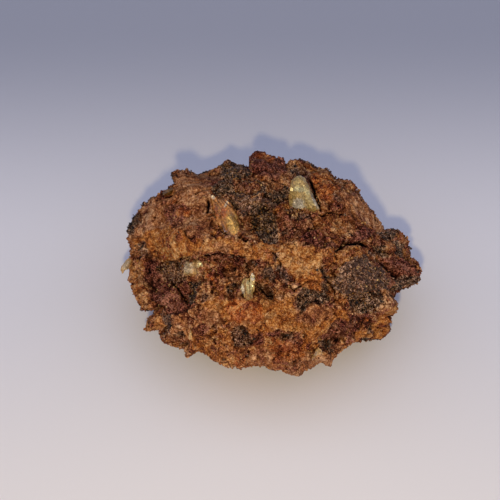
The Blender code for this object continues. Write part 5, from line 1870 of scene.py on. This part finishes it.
def random_turns(count, draws):
    """Random turns as matrices."""
    four = draws.normal(size=(count, 4))
    w, x, y, z = (four / np.linalg.norm(four, axis=1)[:, None]).T
    return np.array([
        [1 - 2 * (y * y + z * z), 2 * (x * y - w * z), 2 * (x * z + w * y)],
        [2 * (x * y + w * z), 1 - 2 * (x * x + z * z), 2 * (y * z - w * x)],
        [2 * (x * z - w * y), 2 * (y * z + w * x), 1 - 2 * (x * x + y * y)],
    ]).transpose(2, 0, 1)


def scatter_grains(grains, skin, weight, material):
    """Small flat-faced grains set in the skin, more of them where the weight is greater."""
    name, slot, count, shape, small, large, seed = grains
    draws = np.random.default_rng(seed)
    chance = weight * skin.areas * (skin.points[:, 2] > GRAINLESS_FOOT)
    hosts = draws.choice(len(chance), count, p=chance / chance.sum())
    corners = np.array(shape[0], float)
    corners /= np.linalg.norm(corners[0])
    jitter = 1.0 + GRAIN_UNEVENNESS * draws.normal(size=(count, len(corners), 1))
    stretch = draws.uniform(*GRAIN_STRETCH, size=(count, 1, 3))
    sizes = small + (large - small) * draws.random((count, 1, 1)) ** 2.0
    local = corners * np.clip(jitter, *GRAIN_CORNERS) * stretch * sizes
    turned = np.einsum("nij,npj->npi", random_turns(count, draws), local)
    standing = draws.uniform(*GRAIN_STANDING, size=(count, 1)) * sizes[:, 0]
    centres = skin.points[hosts] + skin.final_normals[hosts] * standing
    points = (turned + centres[:, None, :]).reshape(-1, 3)
    points[:, 2] = np.maximum(points[:, 2], 0.0)
    starts = np.arange(count)[:, None, None] * len(corners)
    faces = (np.array(shape[1])[None] + starts).reshape(-1, 3)
    piece = mesh_piece(name, points, faces, material, smooth=False)
    first, second, third = draws.random((3, count))
    layers = {
        "tones": [skin.tones[tone][hosts] for tone in FIRST_TONES],
        "more_tones": [skin.tones[tone][hosts] for tone in MORE_TONES],
        "marks": [first, second, third * 0.7],
        # The grains take a share of the skin's painted shade in hollows; their third mark makes some paler at
        # random.
        "fine_marks": [second, skin.lump[hosts], 0.4 * skin.hollow_shade[hosts]],
    }
    for layer, values in layers.items():
        add_tones(piece, layer, *[np.repeat(value, len(corners)) for value in values])
    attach(piece, "root")


def druse_material(name, dark, light, roughness):
    """Small glossy crystals, each its own tone; on the black druse the light ones are in part painted glints.
    """
    material, wiring, shader = new_material(name)
    dullness, paleness_and_glint = wiring.attribute("marks")[:2]
    # Each grain's tone runs from dark to light by its mark; on the black druse the light grains are in part
    # painted glints.
    shade = wiring.blend(wiring.math("POWER", paleness_and_glint, 2.0), dark, light)
    speckle = wiring.noise(wiring.place(), 3.0)
    wiring.feed(shader.inputs["Base Color"], wiring.blend(wiring.ramp(speckle, 0.3, 0.7), shade, dark))
    wiring.feed(shader.inputs["Roughness"], wiring.ramp(dullness, 0.0, 1.0, roughness, roughness + 0.25))
    shader.inputs["Specular IOR Level"].default_value = 0.25
    return material


def make_grains(skin):
    """Crumbs of the rock, black and grey druse, and pale sparkling crystals."""
    scree = np.clip(0.45 + layered(skin.base, 2.6, 83.0, 2), 0.0, 1.0)
    crumbs = rock_material("limonite_crumbs", 4.5, 0.10)
    black = druse_material("black_druse", linear(16, 8, 5), linear(168, 132, 106), 0.45)
    grey = druse_material("grey_druse", linear(56, 32, 23), linear(178, 136, 110), 0.45)
    pale = druse_material("pale_druse", linear(150, 98, 46), linear(236, 194, 130), 0.18)
    loose = scree * (1.0 - 0.9 * skin.calm)
    dark = skin.tones["black"] ** 2 + 0.0005
    dull = skin.tones["grey"] ** 2 + 0.0003
    named = patch_strength(SPARKLE_PATCHES, skin.right, skin.up) * skin.front
    sparkling = named + 0.04 * (1.0 - skin.front)
    scatter_grains(CRUMB_GRAINS, skin, loose, crumbs)
    scatter_grains(BLACK_GRAINS, skin, dark, black)
    scatter_grains(GREY_GRAINS, skin, dull, grey)
    scatter_grains(PALE_GRAINS, skin, sparkling, pale)


# Stage, lights and camera

# The sheet in metres: how far it runs to the sides and the front, where its bend starts, the bend's radius
# and steps, and the height of the sheet behind it.
FLOOR_SIZE = 0.9
FLOOR_TURN_UP = 0.30
FLOOR_BEND = 0.25
FLOOR_BEND_STEPS = 24
FLOOR_TOP = 0.8


def make_floor():
    """A pale sheet that runs flat under the specimen and curves up far behind it."""
    profile = [(-FLOOR_SIZE, 0.0), (FLOOR_TURN_UP, 0.0)]
    for step in range(1, FLOOR_BEND_STEPS + 1):
        turn = step / FLOOR_BEND_STEPS * math.pi / 2.0
        profile.append((FLOOR_TURN_UP + math.sin(turn) * FLOOR_BEND, (1.0 - math.cos(turn)) * FLOOR_BEND))
    profile.append((FLOOR_TURN_UP + FLOOR_BEND, FLOOR_TOP))
    points = []
    for x in (-FLOOR_SIZE, FLOOR_SIZE):
        points += [(x, y, z) for y, z in profile]
    length = len(profile)
    faces = [(i, length + i, length + i + 1, i + 1) for i in range(length - 1)]
    floor = mesh_piece("pale_floor", np.array(points) / MM, np.array(faces), paper_material())


def aim_matrix(place, target):
    """Stands something at a place, looking down its own -Z at a target."""
    back = (Vector(place) - Vector(target)).normalized()
    turned = back.to_track_quat("Z", "Y").to_matrix().to_4x4()
    turned.translation = Vector(place)
    return turned


def add_lamp(lamp):
    """A soft round light aimed at the specimen."""
    light = bpy.data.lights.new(lamp.name, "AREA")
    light.shape = "DISK"
    light.size = lamp.size
    light.energy = lamp.power
    light.color = lamp.colour
    place = MIDDLE * MM + way_from(lamp.azimuth, lamp.elevation) * lamp.distance
    in_scene(lamp.name, light).matrix_world = aim_matrix(place, MIDDLE * MM)


def make_lights():
    """The lamps, and cool light all round."""
    for lamp in LAMPS:
        add_lamp(lamp)
    world = bpy.data.worlds.new("studio")
    world.use_nodes = True
    sky = world.node_tree.nodes["Background"]
    sky.inputs["Color"].default_value = SKY_COLOUR
    sky.inputs["Strength"].default_value = SKY_STRENGTH
    bpy.context.scene.world = world


def make_camera():
    """The camera, looking square at the broad face."""
    lens = bpy.data.cameras.new("camera")
    lens.lens = LENS
    lens.clip_start = 0.01
    lens.clip_end = 10.0
    camera = in_scene("camera", lens)
    aim = MIDDLE + RIGHT * AIM_RIGHT + UP * AIM_UP
    stand = Matrix([RIGHT, UP, OUT]).transposed().to_4x4()
    stand.translation = Vector((aim + OUT * EYE_DISTANCE) * MM)
    camera.matrix_world = stand
    bpy.context.scene.camera = camera
    bpy.context.scene.view_settings.view_transform = "Standard"


def main():
    """The whole specimen on its stage."""
    skin = Skin()
    make_rock(skin)
    make_crystals(skin)
    make_grains(skin)
    make_floor()
    make_lights()
    make_camera()


main()
